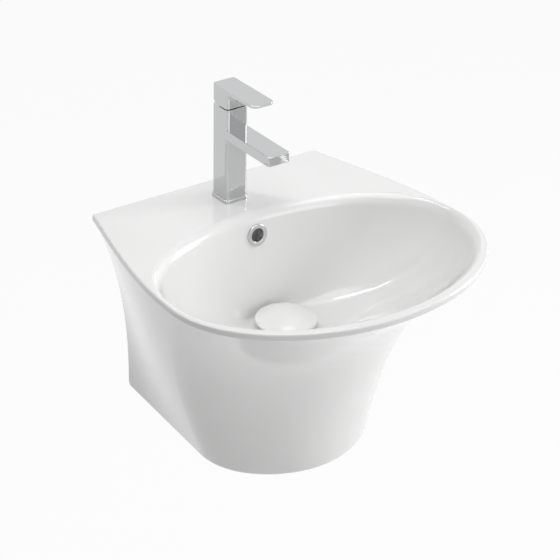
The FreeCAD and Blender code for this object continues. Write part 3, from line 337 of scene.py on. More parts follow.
def turned(name, profile, centre, axis=UP, segments=96):
    """A solid turned from (radius, distance along the axis) pairs. Radius 0 ends it in a point."""
    points, faces, rows = [], [], []
    for radius, along in profile:
        place = centre + axis * along
        if radius < POINT:
            rows.append([len(points)])
            points.append(place)
        else:
            rows.append(list(range(len(points), len(points) + segments)))
            points += ring_round(radius, place, axis, segments)
    closed = profile[0][0] > POINT
    pairs = list(zip(rows, rows[1:]))
    if closed:
        pairs.append((rows[-1], rows[0]))
    for low, high in pairs:
        for i in range(segments):
            j = (i + 1) % segments
            if len(low) == 1 and len(high) == 1:
                continue
            if len(low) == 1:
                faces.append((low[0], high[j], high[i]))
            elif len(high) == 1:
                faces.append((low[i], low[j], high[0]))
            else:
                faces.append((low[i], low[j], high[j], high[i]))
    return mesh_from(name, points, faces)


def plug(radius, start, end, centre, axis=UP, segments=96):
    """A round cutter along an axis, from start to end."""
    profile = [(0.0, start), (radius, start), (radius, end), (0.0, end)]
    return turned("cutter", profile, centre, axis, segments)


def across_bar(name, half_width, profile):
    """A side view of (out, height) points, carried across the middle plane."""
    rings = [[at(x, out, height) for out, height in profile] for x in (-half_width, half_width)]
    return stacked(name, rings)


def box_solid(name, half_width, near, far, low, high):
    """A box across the middle plane, from near to far out and from low to high."""
    return across_bar(name, half_width, [(near, low), (far, low), (far, high), (near, high)])


def combine(piece, others, operation):
    """Join others to the piece or cut them out of it, and delete them."""
    group = bpy.data.collections.new("tools")
    bpy.context.scene.collection.children.link(group)
    for other in others:
        bpy.context.scene.collection.objects.unlink(other)
        group.objects.link(other)
    step = piece.modifiers.new("combine", "BOOLEAN")
    step.operation = operation
    step.operand_type = "COLLECTION"
    step.collection = group
    step.solver = "EXACT"
    bpy.context.view_layer.update()
    shown = piece.evaluated_get(bpy.context.evaluated_depsgraph_get())
    mesh = bpy.data.meshes.new_from_object(shown)
    mesh.name = piece.name
    piece.modifiers.clear()
    piece.data = mesh
    for other in others:
        bpy.data.objects.remove(other)
    bpy.data.collections.remove(group)
    if not mesh.polygons:
        raise RuntimeError("nothing is left of " + piece.name)
    return piece


def cut(piece, tools):
    """Cut tools out of the piece."""
    return combine(piece, tools, "DIFFERENCE")


def join(piece, others):
    """Join others to the piece."""
    return combine(piece, others, "UNION")


def dress(piece, material, body, angle=SHARP_ANGLE):
    """Shade the piece smooth up to an angle, and give it its material and body."""
    mesh = piece.data
    mesh.shade_smooth()
    mesh.set_sharp_from_angle(angle=math.radians(angle))
    step = piece.modifiers.new("normals", "WEIGHTED_NORMAL")
    step.keep_sharp = True
    step.weight = 50
    mesh.materials.clear()
    mesh.materials.append(material)
    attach(piece, body)
    return piece


def quarter_round(radius, steps):
    """The (inset, drop) pairs down a rounded edge, from its top to its side."""
    pairs = []
    for step in range(steps + 1):
        turn = math.pi / 2.0 * step / steps
        pairs.append((radius * (1.0 - math.sin(turn)), radius * (1.0 - math.cos(turn))))
    return pairs


def thread_rings(radius, depth, pitch, start, end, centre, axis, segments=24):
    """Rings of a screw thread that climbs along an axis."""
    side = axis.orthogonal().normalized()
    other = axis.cross(side)
    per_pitch = 6
    rows = max(2, int((end - start) / pitch * per_pitch))
    rings = []
    for row in range(rows + 1):
        along = blend(start, end, row / rows)
        ring = []
        for step in range(segments):
            turn = 2.0 * math.pi * step / segments
            phase = (along / pitch - step / segments) % 1.0
            height = abs(2.0 * phase - 1.0)
            reach = radius - depth * height
            if row in (0, rows):
                reach = radius - depth
            ring.append(centre + axis * along + (side * math.cos(turn) + other * math.sin(turn)) * reach)
        rings.append(ring)
    return rings


# ---- the ceramic ----

# A quarter of a circle has its handles at this share of its radius.
ROUND_HANDLE = 0.5523
SIDE_POINTS = 20
FRONT_POINTS = 44
SHOWN_BANDS = 44
HIDDEN_BANDS = 26
# How the bowl's width, front, back and widest place close in with depth, as pairs of powers.
HALF_CURVE = (1.4, 0.5)
FRONT_CURVE = (1.25, 0.95)
BACK_CURVE = (1.5, 0.9)
WIDEST_CURVE = (1.4, 0.6)
# The bends of the overflow channel, and the seat and the recess of the overflow's ring.
DUCT_INTO_BOWL = 0.001
DUCT_INTO_HUB = 0.004
DUCT_BEND_BACK = 0.005
DUCT_BEND_RISE = 0.004
DUCT_HUB_BACK = 0.003
DUCT_FLOOR_RISE = 0.002
DUCT_BACK_SLOPE = 0.004
RING_SEAT = 0.0004
RING_ROOM = 0.0004
RING_RECESS = 0.003


def curve_points(poles, start, count):
    """Points on a cubic curve from a share of its length, without its last point."""
    points = []
    for step in range(count):
        t = blend(start, 1.0, step / count)
        s = 1.0 - t
        weights = (s ** 3, 3 * s * s * t, 3 * s * t * t, t ** 3)
        points.append(tuple(sum(w * p[axis] for w, p in zip(weights, poles)) for axis in (0, 1)))
    return points


def mirrored(quarter, middle, level):
    """A closed ring: the right half, the middle point, and the left half back."""
    right = [at(x, out, level(out)) for x, out in quarter]
    left = [at(-x, out, level(out)) for x, out in reversed(quarter)]
    return right + [at(middle[0], middle[1], level(middle[1]))] + left


def body_ring(at_wall, half, widest_out, front_out, side_handle, front_handle, level, start_out=0.0):
    """The body's outline: straight at the wall, swelling sides and a round front."""
    lean = shape_of("basin_shape").belly * (half - at_wall) / widest_out
    start = at_wall - lean * PAST
    third = (widest_out + PAST) / 3.0
    bulge = side_handle * (front_out - widest_out)
    side = [
        (start, -PAST),
        (start + lean * third, third - PAST),
        (half, widest_out - third),
        (half, widest_out),
    ]
    front = [
        (half, widest_out),
        (half, widest_out + bulge),
        (front_handle * half, front_out),
        (0.0, front_out),
    ]
    first = (start_out + PAST) / (widest_out + PAST)
    quarter = curve_points(side, first, SIDE_POINTS) + curve_points(front, 0.0, FRONT_POINTS)
    return mirrored(quarter, (0.0, front_out), level)


def rim_ring(inset, height):
    """The rim's outline at a height, drawn in by an inset."""
    b = shape_of("basin_shape")
    return body_ring(
        b.rim_at_wall - inset,
        b.rim_half - inset,
        b.rim_widest_out,
        b.rim_front - inset,
        ROUND_HANDLE,
        ROUND_HANDLE,
        lambda out: height,
    )


def shroud_ring(amount, inset, start_out=0.0):
    """The shroud's outline between its foot (0) and the rim (1)."""
    b = shape_of("basin_shape")
    size = max(amount, 0.0)
    spread = size ** b.front_flare

    def level(out):
        slope = (b.foot_drop_front - b.foot_drop) / b.foot_front
        foot = b.foot_drop + slope * out
        return -b.rim_thick - (foot - b.rim_thick) * (1.0 - amount)

    return body_ring(
        blend(b.foot_at_wall, b.rim_at_wall, size ** b.wall_flare) - inset,
        blend(b.foot_half, b.rim_half, size ** b.width_flare) - inset,
        blend(b.foot_widest_out, b.rim_widest_out, spread),
        blend(b.foot_front, b.rim_front, spread) - inset,
        blend(b.foot_side_handle, ROUND_HANDLE, size),
        blend(b.foot_front_handle, ROUND_HANDLE, size),
        level,
        start_out,
    )


def ceramic_outside():
    """The ceramic's outside, from the foot up to the deck."""
    b = shape_of("basin_shape")
    rings = []
    height = b.foot_drop - b.rim_thick
    for inset, rise in quarter_round(b.foot_round, 6):
        rings.append(shroud_ring(rise / height, inset))
    lowest = b.foot_round / height
    for band in range(1, SHOWN_BANDS + 1):
        amount = blend(lowest, 1.0, band / SHOWN_BANDS)
        rings.append(shroud_ring(amount, (b.rim_under + b.crease) * amount))
    for inset, rise in quarter_round(b.rim_under, 5):
        rings.append(rim_ring(inset, rise - b.rim_thick))
    for inset, drop in reversed(quarter_round(b.rim_round, 8)):
        rings.append(rim_ring(inset, -drop))
    rings.append(rim_ring(b.rim_round + MARGIN, 0.0))
    return stacked("basin_ceramic", rings)


def closing(gone, powers):
    """How much of the bowl's opening is left at a share of its depth."""
    first, second = powers
    return (1.0 - gone ** first) ** second


def bowl_ring(depth_share, grow, deeper, back_grow=None):
    """A level slice of the bowl, between its opening (0) and its floor (1)."""
    w = shape_of("bowl_shape")
    gone = max(depth_share, 0.0)
    half = blend(w.floor_radius, w.half, closing(gone, HALF_CURVE)) + grow
    front = blend(w.drain_out + w.floor_radius, w.front, closing(gone, FRONT_CURVE)) + grow
    back = blend(w.drain_out - w.floor_radius, w.back, closing(gone, BACK_CURVE))
    back -= grow if back_grow is None else back_grow
    widest = blend(w.drain_out, w.widest_out, closing(gone, WIDEST_CURVE))
    back_handle = blend(w.back_handle, ROUND_HANDLE, gone)
    corner_handle = blend(w.corner_handle, ROUND_HANDLE, gone)
    height = -(w.depth + deeper) * depth_share
    rear = [
        (0.0, back),
        (back_handle * half, back),
        (half, blend(widest, back, corner_handle)),
        (half, widest),
    ]
    fore = [
        (half, widest),
        (half, blend(widest, front, ROUND_HANDLE)),
        (ROUND_HANDLE * half, front),
        (0.0, front),
    ]
    quarter = curve_points(rear, 0.0, FRONT_POINTS) + curve_points(fore, 0.0, FRONT_POINTS)
    right = [at(x, out, height) for x, out in quarter]
    left = [at(-x, out, height) for x, out in reversed(quarter[1:])]
    return right + [at(0.0, front, height)] + left


def bowl_inside():
    """What the bowl takes out of the ceramic, with the rounded edge of its opening."""
    w = shape_of("bowl_shape")
    rings = [bowl_ring(-rise / w.depth, w.edge_front, 0.0, w.edge_back) for rise in (PAST, HAIR)]
    for inset, drop in quarter_round(1.0, 12)[1:]:
        rings.append(bowl_ring(w.edge * drop / w.depth, w.edge_front * inset, 0.0, w.edge_back * inset))
    first = math.asin(w.edge / w.depth)
    for band in range(1, SHOWN_BANDS + 1):
        turn = blend(first, math.pi / 2.0, band / SHOWN_BANDS)
        rings.append(bowl_ring(math.sin(turn), 0.0, 0.0))
    return stacked("bowl", rings)


def bowl_outside():
    """The bowl grown by its wall, as its shell under the deck."""
    w = shape_of("bowl_shape")
    rings = [bowl_ring(-PAST / (w.depth + w.wall), w.wall, w.wall)]
    for band in range(HIDDEN_BANDS + 1):
        turn = math.pi / 2.0 * band / HIDDEN_BANDS
        rings.append(bowl_ring(math.sin(turn), w.wall, w.wall))
    return stacked("bowl_shell", rings)


def duct_profile(wall):
    """Side view of the overflow channel behind the bowl, with a wall round it."""
    w = shape_of("bowl_shape")
    face = w.back - w.wall + DUCT_INTO_BOWL + wall
    back = face - w.duct_depth - 2 * wall
    shift = w.drain_out - w.floor_radius - w.back
    into_hub = w.drain_out - w.chamber_radius + DUCT_INTO_HUB + 2 * wall
    floor = -w.chamber_bottom + DUCT_FLOOR_RISE - wall
    return [
        (back, -w.duct_top + wall),
        (face, -w.duct_top + wall),
        (face + shift - DUCT_BEND_BACK, -w.depth + DUCT_BEND_RISE),
        (face + shift - DUCT_HUB_BACK, -w.chamber_top + wall),
        (into_hub, -w.chamber_top + wall),
        (into_hub, floor),
        (back + shift, floor),
        (back + shift - DUCT_BACK_SLOPE, -w.depth),
    ]


def overflow_out():
    """How far out the bowl's back wall is at the overflow."""
    w = shape_of("bowl_shape")
    gone = w.overflow_drop / w.depth
    return blend(w.drain_out - w.floor_radius, w.back, closing(gone, BACK_CURVE)) + RING_SEAT


def overflow_axis():
    """The overflow's direction, square to the bowl's sloping back."""
    tilt = math.radians(shape_of("bowl_shape").overflow_tilt)
    return Matrix.Rotation(-tilt, 3, "X") @ OUTWARD


def ceramic_hollow():
    """The space inside the shroud, round the back panel, the bowl, the hub and the channel."""
    b = shape_of("basin_shape")
    w = shape_of("bowl_shape")
    rings = []
    low = -PAST / b.foot_drop
    for band in range(HIDDEN_BANDS + 1):
        rings.append(shroud_ring(blend(low, 1.0, band / HIDDEN_BANDS), b.shroud_wall, -PAST / 2.0))
    hollow = stacked("hollow", rings)
    drain = at(0.0, w.drain_out, 0.0)
    kept = [
        box_solid("panel", b.rim_half, -2 * PAST, b.panel_thick, -b.panel_drop, PAST),
        bowl_outside(),
        plug(w.hub_radius, -w.hub_drop, -w.depth, drain),
        across_bar("duct", w.duct_half + w.duct_wall, duct_profile(w.duct_wall)),
    ]
    return cut(hollow, kept)


def foot_corner_tool():
    """What rounds the foot's corner at the wall."""
    b = shape_of("basin_shape")
    low = -b.foot_drop + b.foot_corner
    profile = [(-PAST, low), (-PAST, low - 3 * PAST), (b.foot_corner, low - 3 * PAST)]
    for step in range(9):
        turn = math.pi / 2.0 * step / 8
        profile.append((b.foot_corner * (1.0 - math.sin(turn)), low - b.foot_corner * math.cos(turn)))
    return across_bar("corner", b.rim_half, profile)


class BASIN_OT_ceramic(bpy.types.Operator):
    """Build the slip-cast ceramic: deck, rim, bowl, tapering shroud and everything cut into it"""

    bl_idname = "basin.ceramic"
    bl_label = "Ceramic"

    def execute(self, context):
        b = shape_of("basin_shape")
        w = shape_of("bowl_shape")
        t = shape_of("tap_shape")
        drain = at(0.0, w.drain_out, 0.0)
        seat = at(0.0, overflow_out(), -w.overflow_drop)
        axis = overflow_axis()
        ceramic = cut(ceramic_outside(), [ceramic_hollow(), foot_corner_tool()])
        ceramic = cut(ceramic, [bowl_inside()])
        tools = [
            across_bar("duct", w.duct_half, duct_profile(0.0)),
            plug(w.seat_radius, -w.depth - w.seat_depth, -w.depth + MARGIN, drain),
            plug(t.hole, -b.rim_thick - MARGIN, MARGIN, at(0.0, t.out, 0.0)),
        ]
        for sign in (-1.0, 1.0):
            bolt = Vector((sign * b.bolt_spacing / 2.0, 0.0, 0.0))
            tools.append(plug(b.bolt_hole, -MARGIN, b.panel_thick + MARGIN, bolt, OUTWARD, 48))
        ceramic = cut(ceramic, tools)
        tools = [
            plug(w.chamber_radius, -w.chamber_bottom, -w.chamber_top, drain),
            plug(w.overflow_radius, -w.wall - 2 * MARGIN, MARGIN, seat, axis, 48),
        ]
        ceramic = cut(ceramic, tools)
        tools = [
            plug(w.drain_radius, -w.hub_drop - MARGIN, -w.depth + MARGIN, drain),
            plug(w.ring_radius + RING_ROOM, 0.0, RING_RECESS, seat, axis, 48),
        ]
        ceramic = cut(ceramic, tools)
        dress(ceramic, glaze(), "fixed")
        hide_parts("basin")
        return {"FINISHED"}


class BASIN_OT_overflow_ring(bpy.types.Operator):
    """Build the chrome ring in the overflow's mouth"""

    bl_idname = "basin.overflow_ring"
    bl_label = "Overflow ring"

    def execute(self, context):
        w = shape_of("bowl_shape")
        seat = at(0.0, overflow_out(), -w.overflow_drop)
        neck = w.overflow_radius - 0.0001
        profile = [(w.ring_bore, -w.ring_tube), (neck, -w.ring_tube), (neck, 0.0), (w.ring_radius, 0.0)]
        rounding = w.ring_lip * 0.6
        profile.append((w.ring_radius, w.ring_lip - rounding))
        for inset, drop in reversed(quarter_round(rounding, 5)[:-1]):
            profile.append((w.ring_radius - inset, w.ring_lip - drop))
        for inset, drop in quarter_round(rounding, 5):
            profile.append((w.ring_bore + inset, w.ring_lip - drop))
        ring = turned("overflow_trim", profile, seat, overflow_axis(), 72)
        dress(ring, chrome(), "fixed")
        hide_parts("overflow_ring")
        return {"FINISHED"}


# ---- wall fixings ----

# Shares of a nut's size that give its turned corners, and the play round its thread.
NUT_CHAMFER = 0.55
NUT_FACE = 0.985
NUT_FLARE = 1.02
NUT_ROOM = 0.00005
BOLT_TIP = 0.0010
BOLT_END = 0.0006
BOLT_END_SHARE = 0.8
SCREW_DEPTH = 0.0011
MACHINE_DEPTH = 0.0008
STUD_DEPTH = 0.0007


def hex_nut(name, flats, height, base, axis, bore):
    """A nut with its corners turned down at both ends."""
    radius = flats / math.sqrt(3.0)
    chamfer = (radius - flats / 2.0) * NUT_CHAMFER
    rings = [ring_round(radius, base + axis * along, axis, 6) for along in (0.0, height)]
    nut = stacked(name, rings)
    far = radius + PAST
    for start, direction in ((base, axis), (base + axis * height, -axis)):
        low = flats / 2.0 * NUT_FACE
        side = [(low, -MARGIN), (low, 0.0), (radius * NUT_FLARE, chamfer)]
        profile = side + [(far, chamfer), (far, -MARGIN)]
        cut(nut, [turned("chamfer", profile, start, direction, 48)])
    return cut(nut, [plug(bore, -MARGIN, height + MARGIN, base, axis, 48)])


def wall_bolt(centre):
    """A hanger bolt: a screw thread in the wall, a plain neck and a machine thread in the room."""
    f = shape_of("fixing_shape")
    screw_start = -f.bolt_in_wall + f.bolt_point
    neck_end = f.neck_start + f.neck
    thread_end = f.bolt_in_room - BOLT_END
    thread_start = -f.neck_start + MARGIN
    screw_end = -neck_end - MARGIN
    rings = [ring_round(BOLT_TIP, centre - OUTWARD * f.bolt_in_wall, OUTWARD, 24)]
    rings += thread_rings(f.bolt_radius, SCREW_DEPTH, f.screw_pitch, screw_start, screw_end, centre, OUTWARD)
    for inward in (neck_end, f.neck_start):
        rings.append(ring_round(f.neck_radius, centre - OUTWARD * inward, OUTWARD, 24))
    rings += thread_rings(
        f.machine_radius, MACHINE_DEPTH, f.bolt_pitch, thread_start, thread_end, centre, OUTWARD
    )
    end_radius = f.bolt_radius * BOLT_END_SHARE
    rings.append(ring_round(end_radius, centre + OUTWARD * f.bolt_in_room, OUTWARD, 24))
    return stacked("bolt", rings)


class BASIN_OT_wall_fixings(bpy.types.Operator):
    """Build the two threaded wall bolts and their nuts"""

    bl_idname = "basin.wall_fixings"
    bl_label = "Wall fixings"

    def execute(self, context):
        b = shape_of("basin_shape")
        f = shape_of("fixing_shape")
        bolts, nuts = [], []
        for sign in (-1.0, 1.0):
            centre = Vector((sign * b.bolt_spacing / 2.0, 0.0, 0.0))
            bolts.append(wall_bolt(centre))
            base = centre + OUTWARD * f.washer_face
            bore = f.bolt_radius + NUT_ROOM
            nuts.append(hex_nut("nut", f.nut_flats, f.nut_height, base, OUTWARD, bore))
        for name, made, node in (
            ("wall_bolt_pair", bolts, "wall_bolts"),
            ("bolt_nut_pair", nuts, "bolt_nuts"),
        ):
            pair = one_object(name, made)
            dress(pair, zinc_steel(), "fixed", 40.0)
            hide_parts(node)
        return {"FINISHED"}


def one_object(name, made):
    """Put several meshes into one object."""
    bm = bmesh.new()
    for piece in made:
        bm.from_mesh(piece.data)
        bpy.data.objects.remove(piece)
    mesh = bpy.data.meshes.new(name)
    bm.to_mesh(mesh)
    bm.free()
    return make_object(name, mesh)


# ---- waste ----

THREAD_TO_FLANGE = 0.030
CAP_BANDS = 24
EDGE_STEPS = 6


def waste_cap(drain):
    """The cap's dome, with the boss and the hole for the stem under it."""
    s = shape_of("waste_shape")
    rise = s.cap_crown - s.cap_edge
    ball = (s.cap_radius ** 2 + rise ** 2) / (2 * rise)
    centre = s.cap_low + s.cap_crown - ball
    last = math.asin((s.cap_radius - s.cap_round) / ball)
    hole_top = s.cap_low + s.cap_edge
    profile = [(0.0, hole_top), (s.stem_radius, hole_top), (s.stem_radius, s.cap_low - s.boss)]
    profile += [(s.boss_radius, s.cap_low - s.boss), (s.boss_radius, s.cap_low)]
    shoulder = centre + ball * math.cos(last)
    for inset, drop in quarter_round(s.cap_round, 5):
        profile.append((s.cap_radius - inset, s.cap_low + drop))
    for step in range(1, EDGE_STEPS):
        turn = math.pi / 2.0 * step / EDGE_STEPS
        across = s.cap_radius - s.cap_round * (1.0 - math.cos(turn))
        profile.append((across, blend(shoulder - s.cap_round, shoulder, math.sin(turn))))
    for band in range(CAP_BANDS, 0, -1):
        turn = last * band / CAP_BANDS
        profile.append((ball * math.sin(turn), centre + ball * math.cos(turn)))
    profile.append((0.0, centre + ball))
    return turned("cap_dome", profile, drain, UP, 128)


def waste_tube(drain):
    """The flanged tube with its thread and its funnel, before its slots are cut."""
    s = shape_of("waste_shape")
    under = s.flange_top - s.flange
    thread_top = under - THREAD_TO_FLANGE
    rings = [ring_round(s.tube_bore, drain + UP * s.tube_end, UP, 64)]
    rings += thread_rings(
        s.tube_radius, s.thread_depth, s.thread_pitch, s.tube_end, thread_top, drain, UP, 64
    )
    sides = [(s.tube_radius, thread_top + MARGIN), (s.tube_radius, under), (s.flange_radius, under)]
    for inset, drop in reversed(quarter_round(s.flange * 0.4, 4)):
        sides.append((s.flange_radius - inset, s.flange_top - drop))
    sides += [(s.funnel, s.flange_top), (s.tube_bore, under - MARGIN)]
    for radius, height in sides:
        rings.append(ring_round(radius, drain + UP * height, UP, 64))
    tube = stacked("waste_tube", rings + [rings[0]], False)
    weld(tube)
    return tube


class BASIN_OT_waste(bpy.types.Operator):
    """Build the domed cap and the threaded waste tube"""

    bl_idname = "basin.waste"
    bl_label = "Waste"

    def execute(self, context):
        s = shape_of("waste_shape")
        w = shape_of("bowl_shape")
        drain = at(0.0, w.drain_out, 0.0)
        cap = waste_cap(drain)
        dress(cap, glaze(), "push_cap")
        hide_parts("waste_cap")

        tube = waste_tube(drain)
        low = -w.chamber_bottom + s.slot_margin
        high = -w.chamber_top - s.slot_margin
        reach = s.tube_radius + MARGIN
        half = s.slot_width / 2.0
        for side, length_out in ((half, reach), (reach, half)):
            slot = box_solid("slot", side, w.drain_out - length_out, w.drain_out + length_out, low, high)
            cut(tube, [slot])
        dress(tube, chrome(), "fixed")
        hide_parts("waste_body")
        return {"FINISHED"}


def weld(piece):
    """Merge the piece's points that lie together."""
    bm = bmesh.new()
    bm.from_mesh(piece.data)
    bmesh.ops.remove_doubles(bm, verts=bm.verts, dist=WELD)
    bmesh.ops.recalc_face_normals(bm, faces=bm.faces)
    bm.to_mesh(piece.data)
    bm.free()


# ---- tap ----

CORNER_STEPS = 8
SHARPEST = 0.00005
PLATE_CORNER = 0.001
GRUB_RADIUS = 0.002
HEEL_PAST = 0.0006
BLOCK_UNDER_TOP = 1.5
INDEX_PROUD = 0.0003


def plan_ring(near, far, half, near_corner, far_corner, inset, height):
    """A rectangle seen from above with rounded corners, drawn in by an inset."""
    ring = []
    corners = [
        (half - far_corner, far - far_corner, far_corner, 0.0),
        (-half + far_corner, far - far_corner, far_corner, 90.0),
        (-half + near_corner, near + near_corner, near_corner, 180.0),
        (half - near_corner, near + near_corner, near_corner, 270.0),
    ]
    for x, out, radius, start in corners:
        reach = max(radius - inset, SHARPEST)
        for step in range(CORNER_STEPS + 1):
            turn = math.radians(start + 90.0 * step / CORNER_STEPS)
            ring.append(at(x + reach * math.cos(turn), out + reach * math.sin(turn), height))
    return ring


def slab(name, near, far, half, near_corner, far_corner, low, high, top_edge, low_edge):
    """An upright slab with rounded corners and rounded upper and lower edges."""
    rings = []
    for inset, rise in quarter_round(low_edge, 4) if low_edge else [(0.0, 0.0)]:
        rings.append(plan_ring(near, far, half, near_corner, far_corner, inset, low + rise))
    for inset, drop in reversed(quarter_round(top_edge, 5)):
        rings.append(plan_ring(near, far, half, near_corner, far_corner, inset, high - drop))
    return stacked(name, rings)


class BASIN_OT_tap_body(bpy.types.Operator):
    """Build the tap's base plate and its square body with the spout"""

    bl_idname = "basin.tap_body"
    bl_label = "Tap body"

    def execute(self, context):
        t = shape_of("tap_shape")
        f = shape_of("fixing_shape")
        axis = at(0.0, t.out, 0.0)
        half = t.base_side / 2.0
        near, far = t.out - half, t.out + half
        corner = t.corner + PLATE_CORNER
        plate = slab("base_plate", near, far, half, corner, corner, 0.0, t.base_height, t.base_edge, 0.0)
        cut(plate, [plug(t.base_bore, -MARGIN, t.base_height + MARGIN, axis)])
        dress(plate, chrome(), "fixed")
        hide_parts("tap_base_plate")

        half = t.side / 2.0
        near, far = t.out - half, t.out + half
        low, high = t.base_height, t.body_top
        column = slab("tap_column", near, far, half, t.corner, t.corner, low, high, t.edge, 0.0)
        tip = t.out + t.spout_reach
        low, high, edge = t.spout_top - t.spout_thick, t.spout_top, t.spout_edge
        spout = slab("spout", t.out, tip, half, t.corner, t.spout_corner, low, high, edge, edge)
        join(column, [spout])
        outlet = at(0.0, tip - t.aerator_in, 0.0)
        stud = at(0.0, t.out + f.stud_forward, 0.0)
        tools = [
            plug(t.pocket_radius, t.pocket_floor, t.nut_seat + MARGIN, axis),
            plug(t.aerator_radius, low - MARGIN, low + t.aerator_recess, outlet),
            plug(f.stud_radius, t.base_height - MARGIN, f.stud_high, stud, UP, 32),
        ]
        cut(column, tools)
        cut(column, [plug(t.nut_radius, t.nut_seat, t.body_top + MARGIN, axis)])
        dress(column, chrome(), "fixed")
        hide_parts("tap_body")
        return {"FINISHED"}


class BASIN_OT_tap_lever(bpy.types.Operator):
    """Build the lever block with its flat blade, and the index plug"""

    bl_idname = "basin.tap_lever"
    bl_label = "Tap lever"

    def execute(self, context):
        t = shape_of("tap_shape")
        half = t.side / 2.0
        back, front, tip = t.out - half, t.out + half, t.out + t.blade_reach
        low = t.body_top + t.lever_gap
        root = t.lever_top - t.blade_root
        high = t.lever_top - t.lever_edge * BLOCK_UNDER_TOP
        lever = slab("lever_block", back, front, half, t.corner, t.corner, low, high, t.edge, t.edge)
        high, edge = t.lever_top, t.lever_edge
        blade = slab("blade", back, tip, half, t.corner, t.blade_corner, root, high, edge, 0.0)
        past = tip + 2 * MARGIN
        tip_low = t.lever_top - blend(t.blade_root, t.blade_tip, (past - front) / (tip - front))
        taper = [(front, root), (past, tip_low), (past, root - 2 * MARGIN), (front, root - 2 * MARGIN)]
        cut(blade, [across_bar("taper", half + MARGIN, taper)])
        join(lever, [blade])
        heel = arc_through(
            (back, low + t.heel_rise),
            (t.out - t.heel_middle, low + t.heel_middle_rise),
            (t.out - t.heel_start, low),
        )
        heel += [(t.out - t.heel_start + MARGIN, low - MARGIN), (back - MARGIN, low - MARGIN)]
        heel.append((back - MARGIN, low + t.heel_rise + HEEL_PAST))
        heel_tool = across_bar("heel", half + MARGIN, heel)
        cut(lever, [heel_tool])
        stem_axis = t.out - t.pivot_back
        stem = t.stem_side / 2.0
        grub = at(0.0, 0.0, t.grub_height)
        tools = [box_solid("socket", stem, stem_axis - stem, stem_axis + stem, low - MARGIN, t.stem_top)]
        cut(lever, tools)
        cut(lever, [plug(GRUB_RADIUS, stem_axis + stem, front + MARGIN, grub, OUTWARD, 32)])
        cut(lever, [plug(t.index_radius, front - t.index_depth, front + MARGIN, grub, OUTWARD, 48)])
        dress(lever, chrome(), "lever")
        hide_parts("tap_lever")

        face = front + INDEX_PROUD
        profile = [(0.0, front - t.index_depth), (t.index_radius, front - t.index_depth)]
        profile += [(t.index_radius, face - HAIR), (t.index_radius - HAIR, face), (0.0, face)]
        mark = turned("index_mark", profile, grub, OUTWARD, 48)
        dress(mark, index_plastic(), "lever")
        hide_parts("index_plug")
        return {"FINISHED"}


def arc_through(first, middle, last, count=10):
    """Points on the circle through three (out, height) points."""
    ax, ay = first
    bx, by = middle
    cx, cy = last
    d = 2 * (ax * (by - cy) + bx * (cy - ay) + cx * (ay - by))
    a2, b2, c2 = ax * ax + ay * ay, bx * bx + by * by, cx * cx + cy * cy
    ux = (a2 * (by - cy) + b2 * (cy - ay) + c2 * (ay - by)) / d
    uy = (a2 * (cx - bx) + b2 * (ax - cx) + c2 * (bx - ax)) / d
    radius = math.hypot(ax - ux, ay - uy)
    start = math.atan2(ay - uy, ax - ux)
    end = math.atan2(cy - uy, cx - ux)
    middle_turn = math.atan2(by - uy, bx - ux)
    while abs(middle_turn - start) > math.pi:
        middle_turn += 2 * math.pi if middle_turn < start else -2 * math.pi
    while abs(end - middle_turn) > math.pi:
        end += 2 * math.pi if end < middle_turn else -2 * math.pi
    points = []
    for step in range(count + 1):
        turn = blend(start, end, step / count)
        points.append((ux + radius * math.cos(turn), uy + radius * math.sin(turn)))
    return points


class BASIN_OT_tap_fixing(bpy.types.Operator):
    """Build the threaded stud that pulls the tap down"""

    bl_idname = "basin.tap_fixing"
    bl_label = "Tap fixing"

    def execute(self, context):
        t = shape_of("tap_shape")
        f = shape_of("fixing_shape")
        axis = at(0.0, t.out + f.stud_forward, 0.0)
        rings = thread_rings(f.stud_radius, STUD_DEPTH, f.stud_pitch, f.stud_low, f.stud_high, axis, UP)
        stud = stacked("threaded_stud", rings)
        dress(stud, turned_brass(), "fixed", 40.0)
        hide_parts("tap_stud")
        return {"FINISHED"}


# ---- materials ----

def new_material(name):
    """A material with its shader and a bump that feeds it."""
    material = bpy.data.materials.new(name)
    material.use_nodes = True
    nodes = material.node_tree.nodes
    shader = nodes["Principled BSDF"]
    bump = nodes.new("ShaderNodeBump")
    material.node_tree.links.new(bump.outputs["Normal"], shader.inputs["Normal"])
    return material, nodes, material.node_tree.links, shader, bump


# Where new_material's result has the material and its shader.
MATERIAL = 0
SHADER = 3
# The bump height of metals and plastics, and the two dots of the index plug.
FINE_BUMP = 0.0003
DOT_PLACE = 0.0012
DOT_RADIUS = 0.0008


